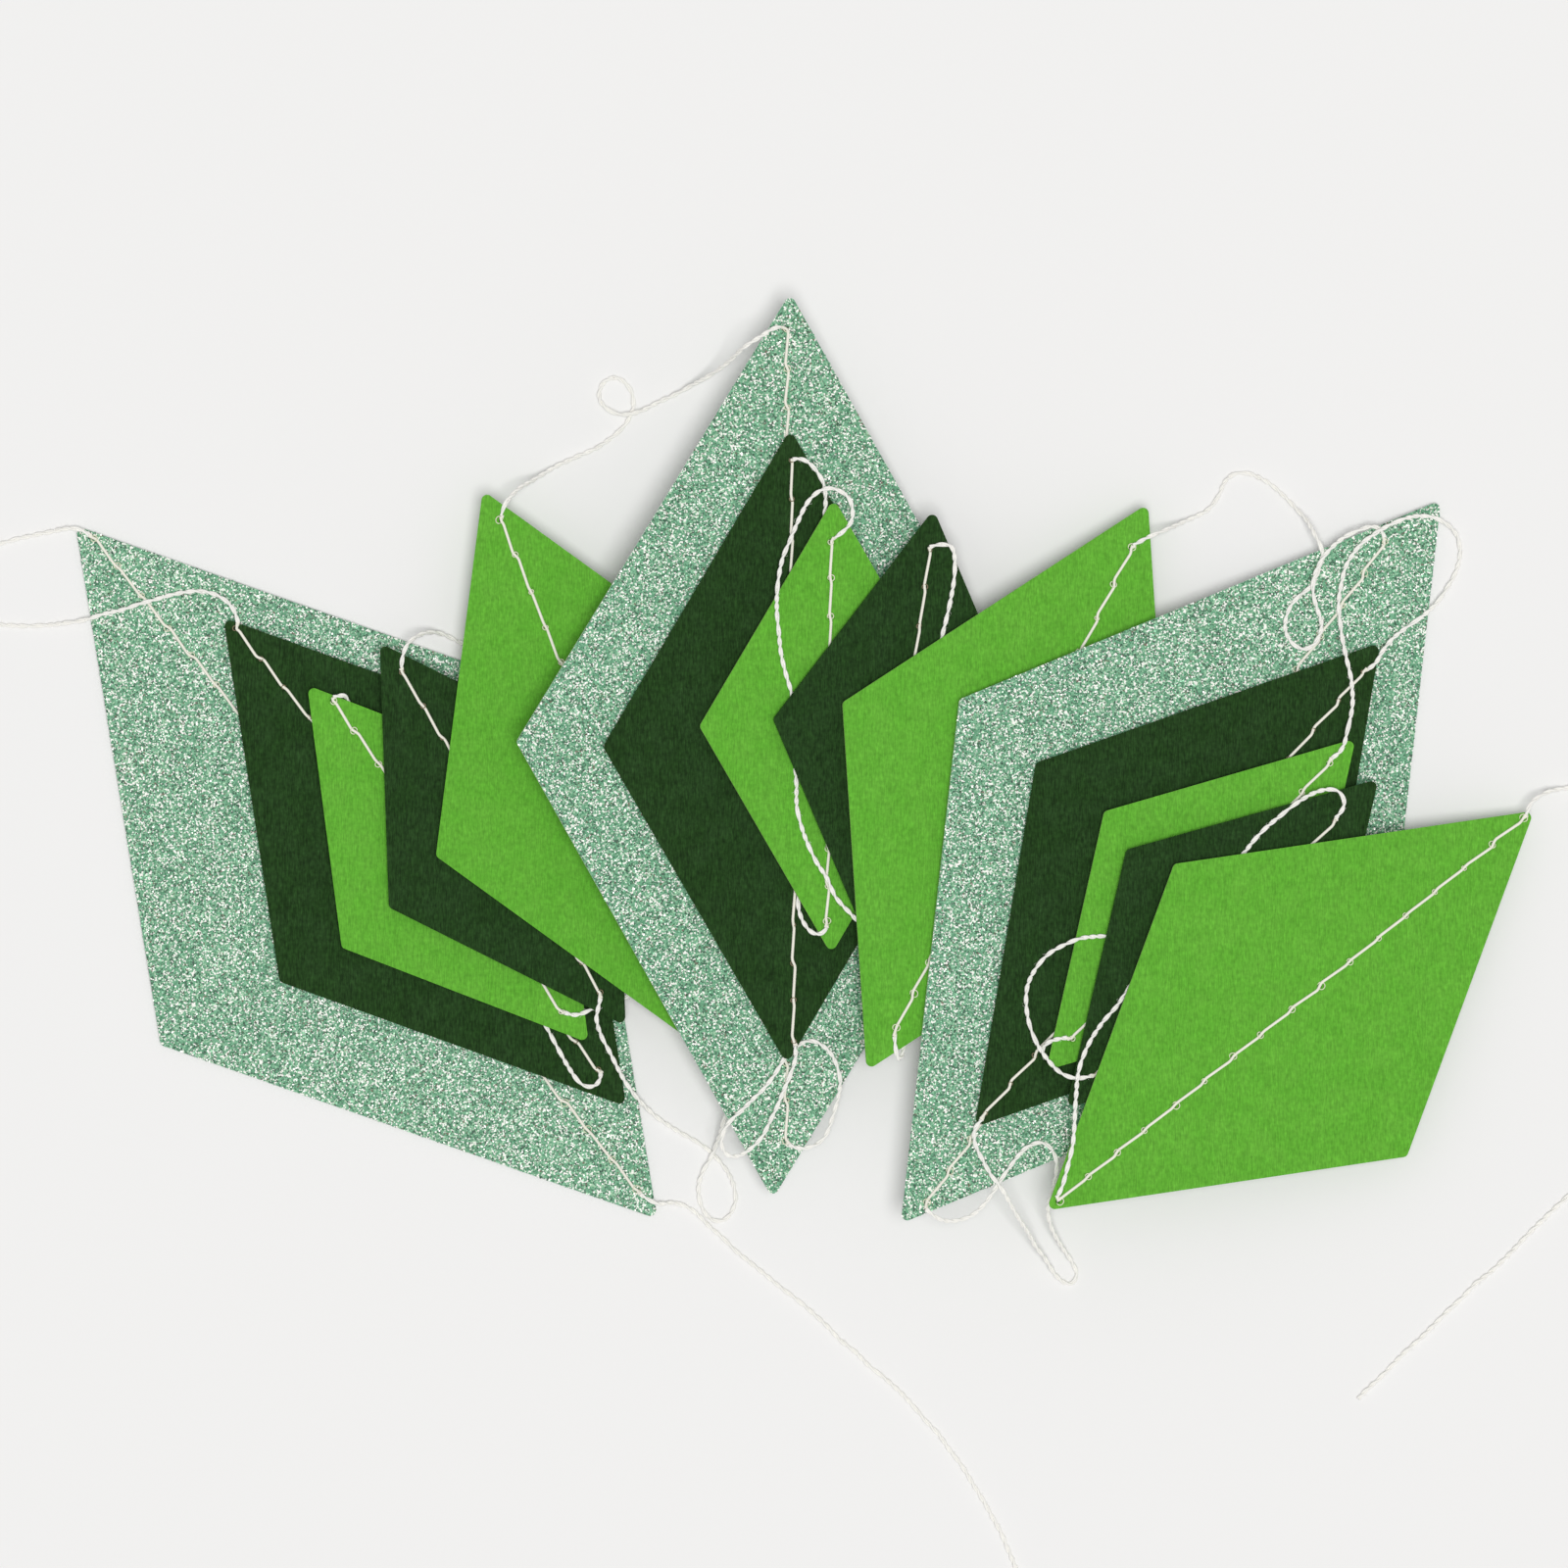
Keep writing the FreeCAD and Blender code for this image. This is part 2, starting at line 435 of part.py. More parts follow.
def make_diamond(doc, name):
    """One flat die-cut card with rounded corners and its row of needle holes."""
    label = name + "_diamond"
    length_cell, thickness_cell = KINDS[CARDS[name][0]]
    body = doc.addObject("PartDesign::Body", label)
    body.Label = label
    pad = body.newObject("PartDesign::Pad", label + "_card")
    pad.Profile = diamond_sketch(body, name)
    pad.setExpression("Length", "sizes." + thickness_cell)
    doc.recompute()
    rounding = body.newObject("PartDesign::Fillet", label + "_corners")
    rounding.Base = (pad, upright_edges(pad.Shape))
    rounding.setExpression("Radius", "sizes.corner_radius")
    doc.recompute()
    blank_volume = rounding.Shape.Volume
    holes = hole_sketch(body, name)
    hole = body.newObject("PartDesign::Pocket", label + "_hole")
    hole.Profile = holes
    hole.Type = "ThroughAll"
    hole.Reversed = True
    row = body.newObject("PartDesign::LinearPattern", label + "_holes")
    row.Originals = [hole]
    row.Direction = (holes, ["Axis0"])
    cell = "sizes." + name
    run = ("sqrt(pow(sizes.%s - %s_top_inset - %s_foot_inset; 2) + pow(%s_top_side - %s_foot_side; 2))"
           % (length_cell, cell, cell, cell, cell))
    row.setExpression("Length", run)
    row.setExpression("Occurrences", "round(%s / sizes.stitch_length) + 1" % run)
    body.Tip = row
    doc.recompute()
    removed = blank_volume - body.Shape.Volume
    one_hole = pi * size("needle_hole") ** 2 / 4 * thickness(name)
    holes_cut = removed / one_hole
    print("%s: %.2f holes cut, %d wanted" % (label, holes_cut, stitch_count(name) + 1))
    if abs(holes_cut - stitch_count(name) - 1) > HOLE_TOLERANCE:
        raise RuntimeError(label + ": the row of needle holes is wrong")
    return body


# Thread

def tube(path, first, second, diameter, sharp=False):
    """A round thread along a path that starts at the first point towards the second."""
    section = Part.Wire([Part.makeCircle(diameter / 2, first, second - first)])
    mitred = 1 if sharp else 0
    solid = path.makePipeShell([section], True, False, mitred)
    if not solid.isValid() or len(solid.Solids) != 1:
        raise RuntimeError("a thread's tube isn't one sound solid")
    return solid.Solids[0]


def row_points(name, outside, deepest):
    """One thread of a seam: flat from hole to hole, and down to its deepest in each hole."""
    foot, top = seam_ends(name)
    count = stitch_count(name)
    stitch = (top - foot) / count
    shoulder = V(stitch).normalize() * size("needle_hole") * BEND_SHARE
    points = []
    for number in range(count + 1):
        hole = foot + stitch * number
        points += [hole - shoulder + V(0, 0, outside),
                   hole + V(0, 0, deepest),
                   hole + shoulder + V(0, 0, outside)]
    return points


def make_stitches(doc, name, placement):
    """Needle thread on the card's top and bobbin thread on its underside."""
    thread = size("thread_diameter")
    middle = thickness(name) / 2
    outside = middle + thread / 2
    deepest = thread / 2 + size("lock_clearance")
    threads = []
    for side in (1, -1):
        points = row_points(name, middle + side * outside, middle + side * deepest)
        path = Part.makePolygon(points)
        threads.append(tube(path, points[0], points[1], thread, sharp=True))
    row = doc.addObject("Part::Feature", name + "_stitches")
    row.Label = name + "_stitches"
    row.Shape = Part.makeCompound(threads)
    row.Placement = placement
    return row


def top_height(host, x, y, planes):
    """Height of the surface that a thread lies on."""
    if host == "table":
        return 0.0
    return height(planes[host], x, y) + thickness(host) + size("lay_clearance")


def route_points(route, planes):
    """The thread's centre over each point of a route."""
    points = []
    for stretch in route:
        host = stretch[0]
        for point in stretch[1:]:
            x, y = point[:2]
            lift = point[2] if len(point) > 2 else 0.0
            lying = top_height(host, x, y, planes) + size("pair_diameter") / 2
            points.append(V(x, y, lying + lift))
    return points


def rounded_path(points):
    """Straight runs joined by arcs as large as the runs allow, and the arcs' radii."""
    edges, radii = [], []
    start = points[0]
    for before, corner, after in zip(points, points[1:], points[2:]):
        come, leave = corner - before, after - corner
        cut = ARC_SHARE * min(come.Length, leave.Length)
        turn = come.getAngle(leave)
        radius = cut / tan(turn / 2)
        come.normalize()
        leave.normalize()
        inward = (leave - come).normalize()
        middle = corner + inward * (radius / cos(turn / 2) - radius)
        arc_start, arc_end = corner - come * cut, corner + leave * cut
        edges.append(Part.LineSegment(start, arc_start).toShape())
        edges.append(Part.Arc(arc_start, middle, arc_end).toShape())
        radii.append(radius)
        start = arc_end
    edges.append(Part.LineSegment(start, points[-1]).toShape())
    return Part.Wire(edges), radii


def make_span(doc, node, route, planes):
    """One free stretch of the twisted pair, as a plain round tube."""
    points = route_points(route, planes)
    path, radii = rounded_path(points)
    diameter = size("pair_diameter")
    solid = tube(path, points[0], points[1], diameter)
    section = pi * diameter ** 2 / 4
    print("%s: length %.2f, tightest radii %s, volume is %.4f of section times length"
          % (node, path.Length, ["%.2f" % r for r in sorted(radii)[:3]],
             solid.Volume / (section * path.Length)))
    span = doc.addObject("Part::Feature", node)
    span.Label = node
    span.Shape = solid
    return span


def make_coil(doc, start_points):
    """The start lead's put-away length: a flat coil, as one ring of its outer shape."""
    pair = size("pair_diameter")
    width = size("coil_pitch") * size("coil_turns") + pair
    outer = (size("coil_diameter") + width) / 2
    inner = outer - width
    last, before = start_points[-1], start_points[-2]
    ahead = (last - before).normalize()
    left = V(0, 0, 1).cross(ahead)
    outer_turn = outer - pair / 2
    reach = (outer ** 2 - (outer_turn - pair / 2) ** 2) ** 0.5
    centre = last + left * outer_turn + ahead * reach
    body = doc.addObject("PartDesign::Body", "start_thread_coil")
    body.Label = "start_thread_coil"
    sketch = new_sketch(body, "coil_ring")
    across = "(sizes.coil_diameter %s (sizes.coil_pitch * sizes.coil_turns + sizes.pair_diameter)) / 2"
    for number, (name, radius, sign) in enumerate((("outer", outer, "+"), ("inner", inner, "-"))):
        sketch.addGeometry(Part.Circle(V(0, 0), V(0, 0, 1), radius), False)
        sketch.addConstraint(Sketcher.Constraint("Coincident", number, 3, -1, 1))
        constrain(sketch, name + "_radius", across % sign, "Radius", number, radius)
    ring = body.newObject("PartDesign::Pad", "coil_height")
    ring.Profile = sketch
    ring.setExpression("Length", "sizes.pair_diameter")
    doc.recompute()
    edges = ["Edge%d" % n for n, edge in enumerate(ring.Shape.Edges, 1) if edge.Closed]
    rounding = body.newObject("PartDesign::Fillet", "coil_rounding")
    rounding.Base = (ring, edges)
    rounding.setExpression("Radius", "sizes.pair_diameter * %g" % COIL_ROUNDING)
    body.Placement = FreeCAD.Placement(V(centre.x, centre.y, 0), FreeCAD.Rotation())
    print("start_thread_coil: centre %.2f %.2f, holds %.1f of thread"
          % (centre.x, centre.y, pi * size("coil_diameter") * size("coil_turns")))
    return body


def check(doc, parts):
    """Stops where an object failed, or a sub-part's shape isn't sound."""
    for thing in doc.Objects:
        if "Invalid" in thing.State or "Error" in thing.State:
            raise RuntimeError(thing.Name + ": " + str(thing.State))
    for part in parts:
        if part.Shape.isNull() or not part.Shape.isValid() or not part.Shape.Solids:
            raise RuntimeError(part.Label + " has no sound shape")


doc = FreeCAD.newDocument("garland")
sheet = make_sheet(doc)
planes = lay_cards()
parts = []
for name in CARDS:
    placement = card_placement(name, planes[name])
    diamond = make_diamond(doc, name)
    diamond.Placement = placement
    parts += [diamond, make_stitches(doc, name, placement)]
for node, route in ROUTES.items():
    parts.append(make_span(doc, node, route, planes))
parts.append(make_coil(doc, route_points(ROUTES["start_thread"], planes)))
doc.recompute()
check(doc, parts)

os.makedirs("parts", exist_ok=True)
box = FreeCAD.BoundBox()
for part in parts:
    part.Shape.exportStep("parts/%s.step" % part.Label)
    if "thread" not in part.Label:
        box.add(part.Shape.BoundBox)
print("%d sub-parts; cards and stitches from (%.2f, %.2f, %.2f) to (%.2f, %.2f, %.2f)"
      % (len(parts), box.XMin, box.YMin, box.ZMin, box.XMax, box.YMax, box.ZMax))
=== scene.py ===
# A sewn garland of card diamonds, folded on a table into three fans and seen from straight above.
import math
import random
import bpy
import numpy as np
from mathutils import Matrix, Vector


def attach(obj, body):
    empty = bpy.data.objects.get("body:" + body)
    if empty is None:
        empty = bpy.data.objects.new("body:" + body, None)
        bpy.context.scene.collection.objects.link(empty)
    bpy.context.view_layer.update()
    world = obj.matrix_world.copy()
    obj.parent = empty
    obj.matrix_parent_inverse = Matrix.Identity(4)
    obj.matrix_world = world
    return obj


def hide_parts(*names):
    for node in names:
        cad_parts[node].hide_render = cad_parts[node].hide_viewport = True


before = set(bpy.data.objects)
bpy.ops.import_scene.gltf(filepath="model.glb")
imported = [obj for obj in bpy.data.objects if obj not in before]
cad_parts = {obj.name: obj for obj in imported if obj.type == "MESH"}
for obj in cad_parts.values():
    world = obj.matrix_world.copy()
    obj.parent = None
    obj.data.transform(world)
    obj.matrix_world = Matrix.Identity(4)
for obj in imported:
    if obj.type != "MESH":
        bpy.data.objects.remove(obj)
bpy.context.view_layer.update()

MM = 0.001
SEED = 15

# Thread, in metres.
STRAND_RADIUS = 0.14 * MM        # one sewing thread
PAIR_OFFSET = 0.12 * MM          # of each strand's centre from the middle of the twisted pair
PAIR_REACH = PAIR_OFFSET + STRAND_RADIUS
PAIR_TWIST = 2.5 * MM            # one full turn of the two strands
TWIST_DRIFT = 1.5                # radians that the twist runs ahead or behind
WOBBLE = 0.11 * MM               # how far a free pair wavers to its sides
WAVER_STEP = 2.1 * MM            # between one change of either and the next
LINT_SPACING = 0.35 * MM         # between one loose fibre end and the next, on average
LINT_REACH = (0.15 * MM, 0.5 * MM)
LINT_RADIUS = 0.012 * MM
LINT_LEAN = 1.2                  # how far along the thread an end may lean, for each length out
LINT_STEP = PAIR_TWIST / 4
PAIR_STEP = 0.14 * MM            # between one ring of points and the next along a free pair
ROW_STEP = 0.16 * MM             # the same along a row of stitches
PAIR_SIDES = 9                   # of each thread's mesh, round it
ROW_SIDES = 8
RING_SIDES = 6
LINE_STEPS = 16                  # points of a route's smooth line for each control point
PLY_TWIST = 0.9 * MM             # one full turn of a thread's own three plies
PLIES = 3
PLY_DEPTH = 0.1                  # share of the radius
PAIR_DIAMETER = 0.5 * MM         # as a cord: between the pair's narrow and wide way
LAY_CLEARANCE = 0.02 * MM
STITCH = 4.1 * MM
ROW_END = 0.3 * MM               # a row's solids reach this far past the middle of its end holes

# The start lead's put-away coil, on the table.
COIL_TURNS = 2.5
COIL_MIDDLE = 5.2 * MM           # diameter at the middle of the turns
COIL_PITCH = 0.5 * MM
COIL_STEPS = 14                  # points in each turn

# Cards, in metres.
FACES_UP = 0.9                   # least upward share of the normal of a card's top face
THICKNESS = {"glitter": 0.4 * MM, "dark": 0.3 * MM, "light": 0.3 * MM,
             "dark_small": 0.3 * MM, "light_small": 0.3 * MM}

# One thread of a row on each side of a hole: millimetres along the seam, how far out of the hole
# (0 at the middle of the card, 1 flat on its face) and to which side it leans.
ROW_IN = ((-0.55, 1.0, -1.0), (-0.3, 0.85, -0.8), (-0.08, 0.15, -0.2))
ROW_OUT = ((0.08, 0.15, 0.2), (0.3, 0.85, 0.8), (0.55, 1.0, 1.0))
ROW_RADIUS = 0.165 * MM          # of the one thread of a stitch, which its fluff makes look wider
SLANT = (0.04 * MM, 0.2 * MM)    # of a stitch, to each side of the seam

# The bobbin thread's loop, pulled up through each hole and over the needle thread: an open ring
# that leans to one side. Its middle's place along the seam, its reach along and across, how high it
# lies, rises over the needle thread and dips into the hole, all in millimetres.
RING_AHEAD = 0.16
RING_ALONG = 0.3
RING_ACROSS = 0.34
RING_LIE = 0.07
RING_CROSS = 0.25
RING_DIP = 0.22
RING_OPEN = 2.75                 # radians from its far side to each end
RING_STEPS = 14
RING_TURN = 0.7                  # radians at most
RING_SIZE = (0.75, 1.3)
RING_RADIUS = 0.06 * MM
DARK_RING_SHARE = 0.7            # of a ring's size, on dark card

# The burr of card that the needle raises round each hole, and that closes in on the thread: radius
# of its crest, of its foot and of its lip, its rise and how deep the lip lies.
RIM_RADIUS = 0.4 * MM
RIM_FOOT = 0.5 * MM
RIM_LIP = 0.1 * MM
RIM_RISE = 0.07 * MM
RIM_DIP = 0.14 * MM
RIM_SIDES = 16

# Glitter
FLAKES_PER_MM2 = 16.0
FLAKE_RADIUS = (0.07 * MM, 0.12 * MM)
FLAKE_SIDES = 4
FLAKE_TILT = 0.22
FLAKE_RISE = (0.01 * MM, 0.05 * MM)
SPECK_SIZE = 0.17 * MM           # of the finer glitter between the flakes

# Glitter tones, linear: where each starts on a scale of 0 to 1, and its colour. The last, near-white
# tone is painted glint: sparkle painted as colour on a share of the specks and flakes.
GLITTER_TONES_AND_GLINTS = ((0.0, (0.03, 0.10, 0.055)), (0.165, (0.16, 0.13, 0.085)), (0.185, (0.085, 0.30, 0.155)),
                 (0.46, (0.16, 0.425, 0.24)), (0.72, (0.36, 0.61, 0.39)), (0.822, (0.97, 0.97, 0.90)))

# Other colours, linear.
DARK_GREEN = (0.0165, 0.051, 0.0105)
DARK_GREEN_WARM = (0.020, 0.056, 0.014)
LIGHT_GREEN = (0.119, 0.416, 0.035)
LIGHT_GREEN_WARM = (0.133, 0.428, 0.041)
GLITTER_BACK = (0.60, 0.70, 0.62)
THREAD = (0.95, 0.935, 0.885)
STITCH_THREAD = (0.92, 0.89, 0.78)
LOOP_THREAD = (0.80, 0.81, 0.60)
# The bobbin loops on dark card are coloured dark brown, far darker than the thread.
LOOP_THREAD_DARK = (0.22, 0.18, 0.10)
# Cut edges of the cards: painted highlight, a paler colour on every upright face.
LIGHT_GREEN_EDGE_HIGHLIGHT = (0.33, 0.60, 0.17)
DARK_EDGE_HIGHLIGHT = 2.2            # painted highlight: how much paler a dark card's cut edge is coloured than its face
TABLE = (0.853, 0.847, 0.838)

# Shares by which the dye's clouds and the felt's fibres lighten and darken a card.
DARK_CLOUD, DARK_GRAIN = 0.3, 0.4
LIGHT_CLOUD, LIGHT_GRAIN = 0.15, 0.18

# Scales of the surface patterns, in repeats to a metre.
TINT_SCALE = 420.0
CLOUD_SCALE = 2400.0
FIBRES_ACROSS = 6500.0
FIBRES_ALONG = 900.0
FIBRE_TURNS = (0.4, 1.5, 2.6)    # radians, the three ways that the fibres lie
LINT_SCALE = 9000.0
SLUB_SCALE = 900.0

# Heights of the bumps, in metres.
FIBRE_BUMP = 0.04 * MM
SPECK_BUMP = 0.06 * MM
LINT_BUMP = 0.03 * MM
BUMP_STRENGTH = 0.5

# Camera: straight above, with the whole photograph's frame in view.
FRAME_SIDE = 168.8 * MM
FRAME_CENTRE = (-2.16 * MM, -2.59 * MM)
CAMERA_HEIGHT = 2.6
SENSOR = 36.0

# Light
LAMP_STRENGTH = 1.85
LAMP_SOFTNESS = 24.0             # degrees that the lamp spans
LAMP_FROM = (0.07, -0.1, 1.0)
ROOM_STRENGTH = 0.42
BACKDROP_STRENGTH = 0.92         # the room where the camera sees it past the table
TABLE_REACH = 2.0                # metres from the middle to each side

# The threads' routes, in millimetres: what each stretch lies on, then x, y and where it needs one
# the lift over what it crosses. The last stretch of a span lies on the card that it enters.
ROUTES = {
    "start_thread": [
        ("left_glitter", (-17.6, -46.7), (-16.7, -47.3), (-15.6, -47.8)),
        ("table", (-13.8, -47.6), (-11.8, -48.6), (-9.1, -51.3), (-4.7, -55.1), (0.4, -58.8),
         (4.8, -63.3), (9.7, -67.4), (13.8, -71.7), (17.3, -76.3), (20.2, -81.1), (22.5, -86.1),
         (23.8, -90.4)),
    ],
    "thread_span_01": [
        ("left_glitter", (-76.9, 24.2), (-77.7, 24.8), (-79.2, 25.0)),
        ("table", (-81.3, 24.6), (-83.8, 24.0), (-87.0, 23.2), (-90.1, 22.9), (-92.7, 21.7),
         (-93.9, 19.4), (-93.3, 16.9), (-91.0, 15.2), (-87.8, 14.7), (-84.2, 14.5), (-80.6, 14.5)),
        ("left_glitter", (-77.7, 14.9), (-74.7, 15.9, 0.3), (-71.3, 16.8, 0.34), (-67.8, 17.9, 0.1),
         (-64.8, 18.2), (-62.7, 17.6, 0.5)),
        ("left_dark", (-61.2, 16.3), (-60.9, 14.8)),
    ],
    "thread_span_02": [
        ("left_dark", (-21.8, -33.7), (-21.9, -34.6), (-22.9, -35.2), (-24.2, -34.8), (-25.4, -33.0),
         (-26.8, -30.3), (-28.4, -27.4), (-30.9, -24.7), (-34.2, -22.0), (-37.3, -18.4, 0.32),
         (-39.4, -14.4, 0.32), (-41.2, -9.8, 0.32), (-43.5, -4.2, 0.05), (-45.7, -0.3), (-47.4, 2.6),
         (-48.6, 5.0), (-49.2, 6.6, 0.15)),
        ("left_light_small", (-49.6, 7.0), (-50.6, 6.75)),
    ],
    "thread_span_03": [
        ("left_light_small", (-25.7, -27.2), (-24.8, -27.5), (-23.8, -27.2), (-22.4, -26.6),
         (-20.7, -26.4), (-19.0, -25.6), (-18.0, -23.9, 0.3)),
        ("left_dark_small", (-18.0, -21.8), (-19.0, -19.5), (-20.7, -16.3), (-23.0, -12.1),
         (-25.1, -7.3), (-26.9, -2.4), (-28.3, 2.1), (-30.1, 5.6), (-32.1, 8.2)),
        ("table", (-33.8, 10.1, 2.2), (-35.3, 11.7, 0.6), (-37.0, 12.7), (-38.8, 13.6, 0.3),
         (-40.3, 13.8, 1.7), (-41.7, 13.3, 3.2)),
        ("left_dark_small", (-42.7, 12.4, 0.1), (-43.2, 11.1), (-43.3, 9.9)),
    ],
    "thread_span_04": [
        ("left_dark_small", (-21.9, -25.6), (-22.1, -26.7), (-22.3, -28.1)),
        ("left_dark", (-21.9, -29.8, 0.3), (-20.9, -31.6), (-19.9, -33.5), (-18.7, -35.4)),
        ("left_glitter", (-17.3, -37.1, 0.1),),
        ("table", (-15.7, -38.7), (-13.6, -39.9), (-11.1, -41.2), (-9.1, -43.1), (-7.6, -45.3),
         (-7.2, -47.7), (-8.3, -49.6), (-9.9, -49.7), (-11.1, -48.2), (-11.5, -46.0, 0.1),
         (-10.9, -44.1, 0.5), (-9.9, -42.5, 0.6), (-9.1, -40.8, 1.1), (-8.6, -38.9, 2.3),
         (-8.3, -37.0, 3.7)),
        ("left_light", (-8.1, -35.2), (-8.1, -33.5), (-8.3, -32.3), (-8.7, -31.4)),
    ],
    "thread_span_05": [
        ("left_light", (-32.5, 26.2), (-32.3, 27.2), (-31.6, 28.2)),
        ("table", (-30.4, 29.3, 3.6), (-28.8, 30.3, 1.6), (-26.8, 31.5, 0.3), (-24.5, 32.5),
         (-22.4, 33.6), (-20.6, 34.8), (-19.1, 36.1), (-18.3, 37.9), (-18.5, 39.9), (-19.9, 41.3),
         (-21.5, 41.0), (-22.3, 39.5, 0.1), (-21.8, 38.0, 0.4), (-20.1, 37.1, 0.52), (-18.0, 37.4, 0.5),
         (-15.9, 38.3, 0.2), (-13.6, 39.4, 0.4), (-11.4, 40.6, 1.6), (-9.4, 41.8, 3.4),
         (-7.7, 43.1, 5.4)),
        ("centre_glitter", (-6.1, 44.6), (-4.6, 45.5), (-3.3, 46.4), (-2.5, 46.5)),
    ],
    "thread_span_06": [
        ("centre_glitter", (-1.6, -41.3), (-0.9, -41.7), (0.5, -41.7), (2.0, -40.9), (2.9, -39.3),
         (3.5, -37.0), (3.9, -34.6), (3.4, -32.2), (2.3, -30.7), (0.8, -30.1), (-0.7, -30.7, 0.1),
         (-1.7, -31.5, 0.3), (-2.6, -32.7, 0.3), (-3.4, -34.2, 0.05), (-4.6, -35.8), (-6.3, -37.2),
         (-7.7, -38.5), (-8.7, -40.0), (-8.9, -41.6), (-8.1, -42.7), (-6.7, -42.6), (-5.2, -41.4),
         (-4.0, -39.5), (-2.9, -37.4, 0.05), (-2.1, -35.2, 0.34), (-1.4, -33.6, 0.8)),
        ("centre_dark", (-0.9, -32.2), (-0.8, -31.4), (-0.9, -30.7)),
    ],
    "thread_span_07": [
        ("centre_dark", (-1.2, 32.2), (-0.5, 32.4), (0.6, 31.8), (1.5, 30.7), (2.2, 29.3), (2.4, 27.4),
         (1.9, 24.8), (1.2, 21.5), (0.9, 17.2), (1.3, 12.7), (1.1, 8.0), (0.5, 3.2), (0.1, -1.5),
         (0.5, -6.3), (0.3, -10.2), (-0.5, -13.1), (-0.7, -15.5), (-0.2, -17.4, 0.4)),
        ("centre_light_small", (0.8, -18.6), (1.9, -18.7), (2.4, -18.0)),
    ],
    "thread_span_08": [
        ("centre_light_small", (3.3, 23.9), (4.5, 24.7), (5.3, 26.0), (5.2, 27.7), (4.3, 28.8),
         (2.8, 29.3, -0.2)),
        ("centre_dark", (1.3, 28.7, 0.7), (0.1, 27.2, 0.4), (-0.9, 25.3, 0.34), (-1.7, 23.2, 0.45),
         (-2.4, 21.3, 0.8)),
        ("centre_light_small", (-2.8, 19.4), (-3.0, 17.1), (-2.9, 14.5), (-2.6, 11.9), (-2.1, 9.4),
         (-1.3, 7.1), (-0.9, 4.3), (-0.8, 1.4), (-0.9, -1.5), (-0.9, -4.5), (-0.3, -7.3),
         (0.9, -10.0, 0.1), (2.2, -12.4, 0.34), (3.1, -14.2, 0.36), (4.0, -15.5, 0.7)),
        ("centre_dark_small", (4.9, -16.5), (6.0, -17.5), (6.8, -18.2), (7.4, -18.8)),
    ],
    "thread_span_09": [
        ("centre_dark_small", (13.5, 22.8), (14.3, 23.1), (15.2, 23.1), (15.9, 22.9), (16.2, 21.8),
         (16.2, 20.0), (15.9, 17.9), (15.4, 15.6), (14.8, 13.0), (14.1, 8.5), (13.7, 3.2),
         (13.0, -2.6), (12.8, -7.9), (12.1, -13.1), (11.7, -16.8, 0.03), (11.1, -20.5, -0.1),
         (10.7, -24.2, -0.3), (10.5, -27.2, -0.1), (10.6, -29.8, 0.03), (10.6, -31.5, 0.35)),
        ("centre_light", (10.2, -32.3), (9.8, -31.3), (9.7, -29.7)),
    ],
    "thread_span_10": [
        ("centre_light", (35.4, 23.0), (36.5, 23.6), (37.8, 24.2)),
        ("table", (39.2, 24.8, 2.4), (40.7, 25.5, 0.9), (42.3, 26.1, 0.1), (43.7, 26.9), (44.6, 28.4),
         (45.1, 30.0), (46.4, 31.0), (48.3, 30.7), (50.5, 29.5), (52.4, 27.8), (53.8, 26.2, 1.0)),
        ("right_glitter", (54.9, 24.5, 0.1), (55.8, 22.4, 0.05), (55.4, 20.5), (54.7, 18.7),
         (53.2, 17.6), (52.0, 16.1), (51.5, 14.2), (52.4, 12.4, 0.1), (53.9, 11.7, 0.34),
         (55.2, 12.6, 0.36), (55.8, 14.4, 0.36), (55.1, 16.3, 0.5), (54.6, 18.2, 0.54),
         (54.9, 20.2, 0.54), (56.0, 22.2, 0.56), (57.6, 23.6, 0.2), (59.5, 24.6), (61.1, 25.2),
         (62.2, 24.7), (62.4, 23.9)),
    ],
    "thread_span_11": [
        ("right_glitter", (13.1, -48.2), (14.0, -49.2), (15.6, -49.7, -0.4), (17.5, -49.3, -0.4),
         (19.0, -48.1), (20.4, -46.2), (22.0, -43.7), (23.7, -41.7), (25.4, -40.9), (26.6, -41.7),
         (27.2, -43.5, 0.02), (26.9, -45.6, -1.0)),
        ("table", (26.2, -47.7, 5.0), (26.4, -50.1, 3.0), (27.6, -52.4, 1.2), (28.9, -54.1, 0.2),
         (29.5, -55.4), (28.9, -56.6), (27.6, -56.2), (26.2, -54.2, 0.9), (24.6, -51.8, 3.0),
         (23.4, -49.9, 5.2)),
        ("right_glitter", (22.2, -48.0, 0.2), (21.2, -46.1, 0.52), (20.1, -44.5, 0.5),
         (19.0, -42.8, 0.2), (18.3, -41.1, 0.6)),
        ("right_dark", (18.2, -39.7), (18.7, -39.0), (19.0, -38.6)),
    ],
    "thread_span_12": [
        ("right_dark", (60.6, 9.8), (61.5, 10.3), (62.1, 11.5)),
        ("right_glitter", (63.3, 13.0, 0.5), (65.3, 14.6), (67.2, 16.1, 0.06)),
        ("table", (68.9, 17.8, 0.6), (70.3, 20.1), (70.8, 22.5)),
        ("right_glitter", (70.0, 24.7, 0.1), (68.2, 26.1), (66.4, 26.4), (64.6, 25.9, 0.2),
         (63.0, 25.2, 0.52), (61.4, 24.4, 0.52), (59.7, 23.2, 0.2), (58.3, 21.0, 0.1),
         (57.6, 18.6, 0.34), (57.5, 16.2, 0.36), (57.7, 14.2, 0.5)),
        ("right_dark", (58.0, 12.5), (58.5, 10.5, 0.2), (58.8, 8.2, 0.36), (59.0, 6.2, 0.3),
         (58.8, 4.4, 0.2), (58.4, 3.1, 1.1)),
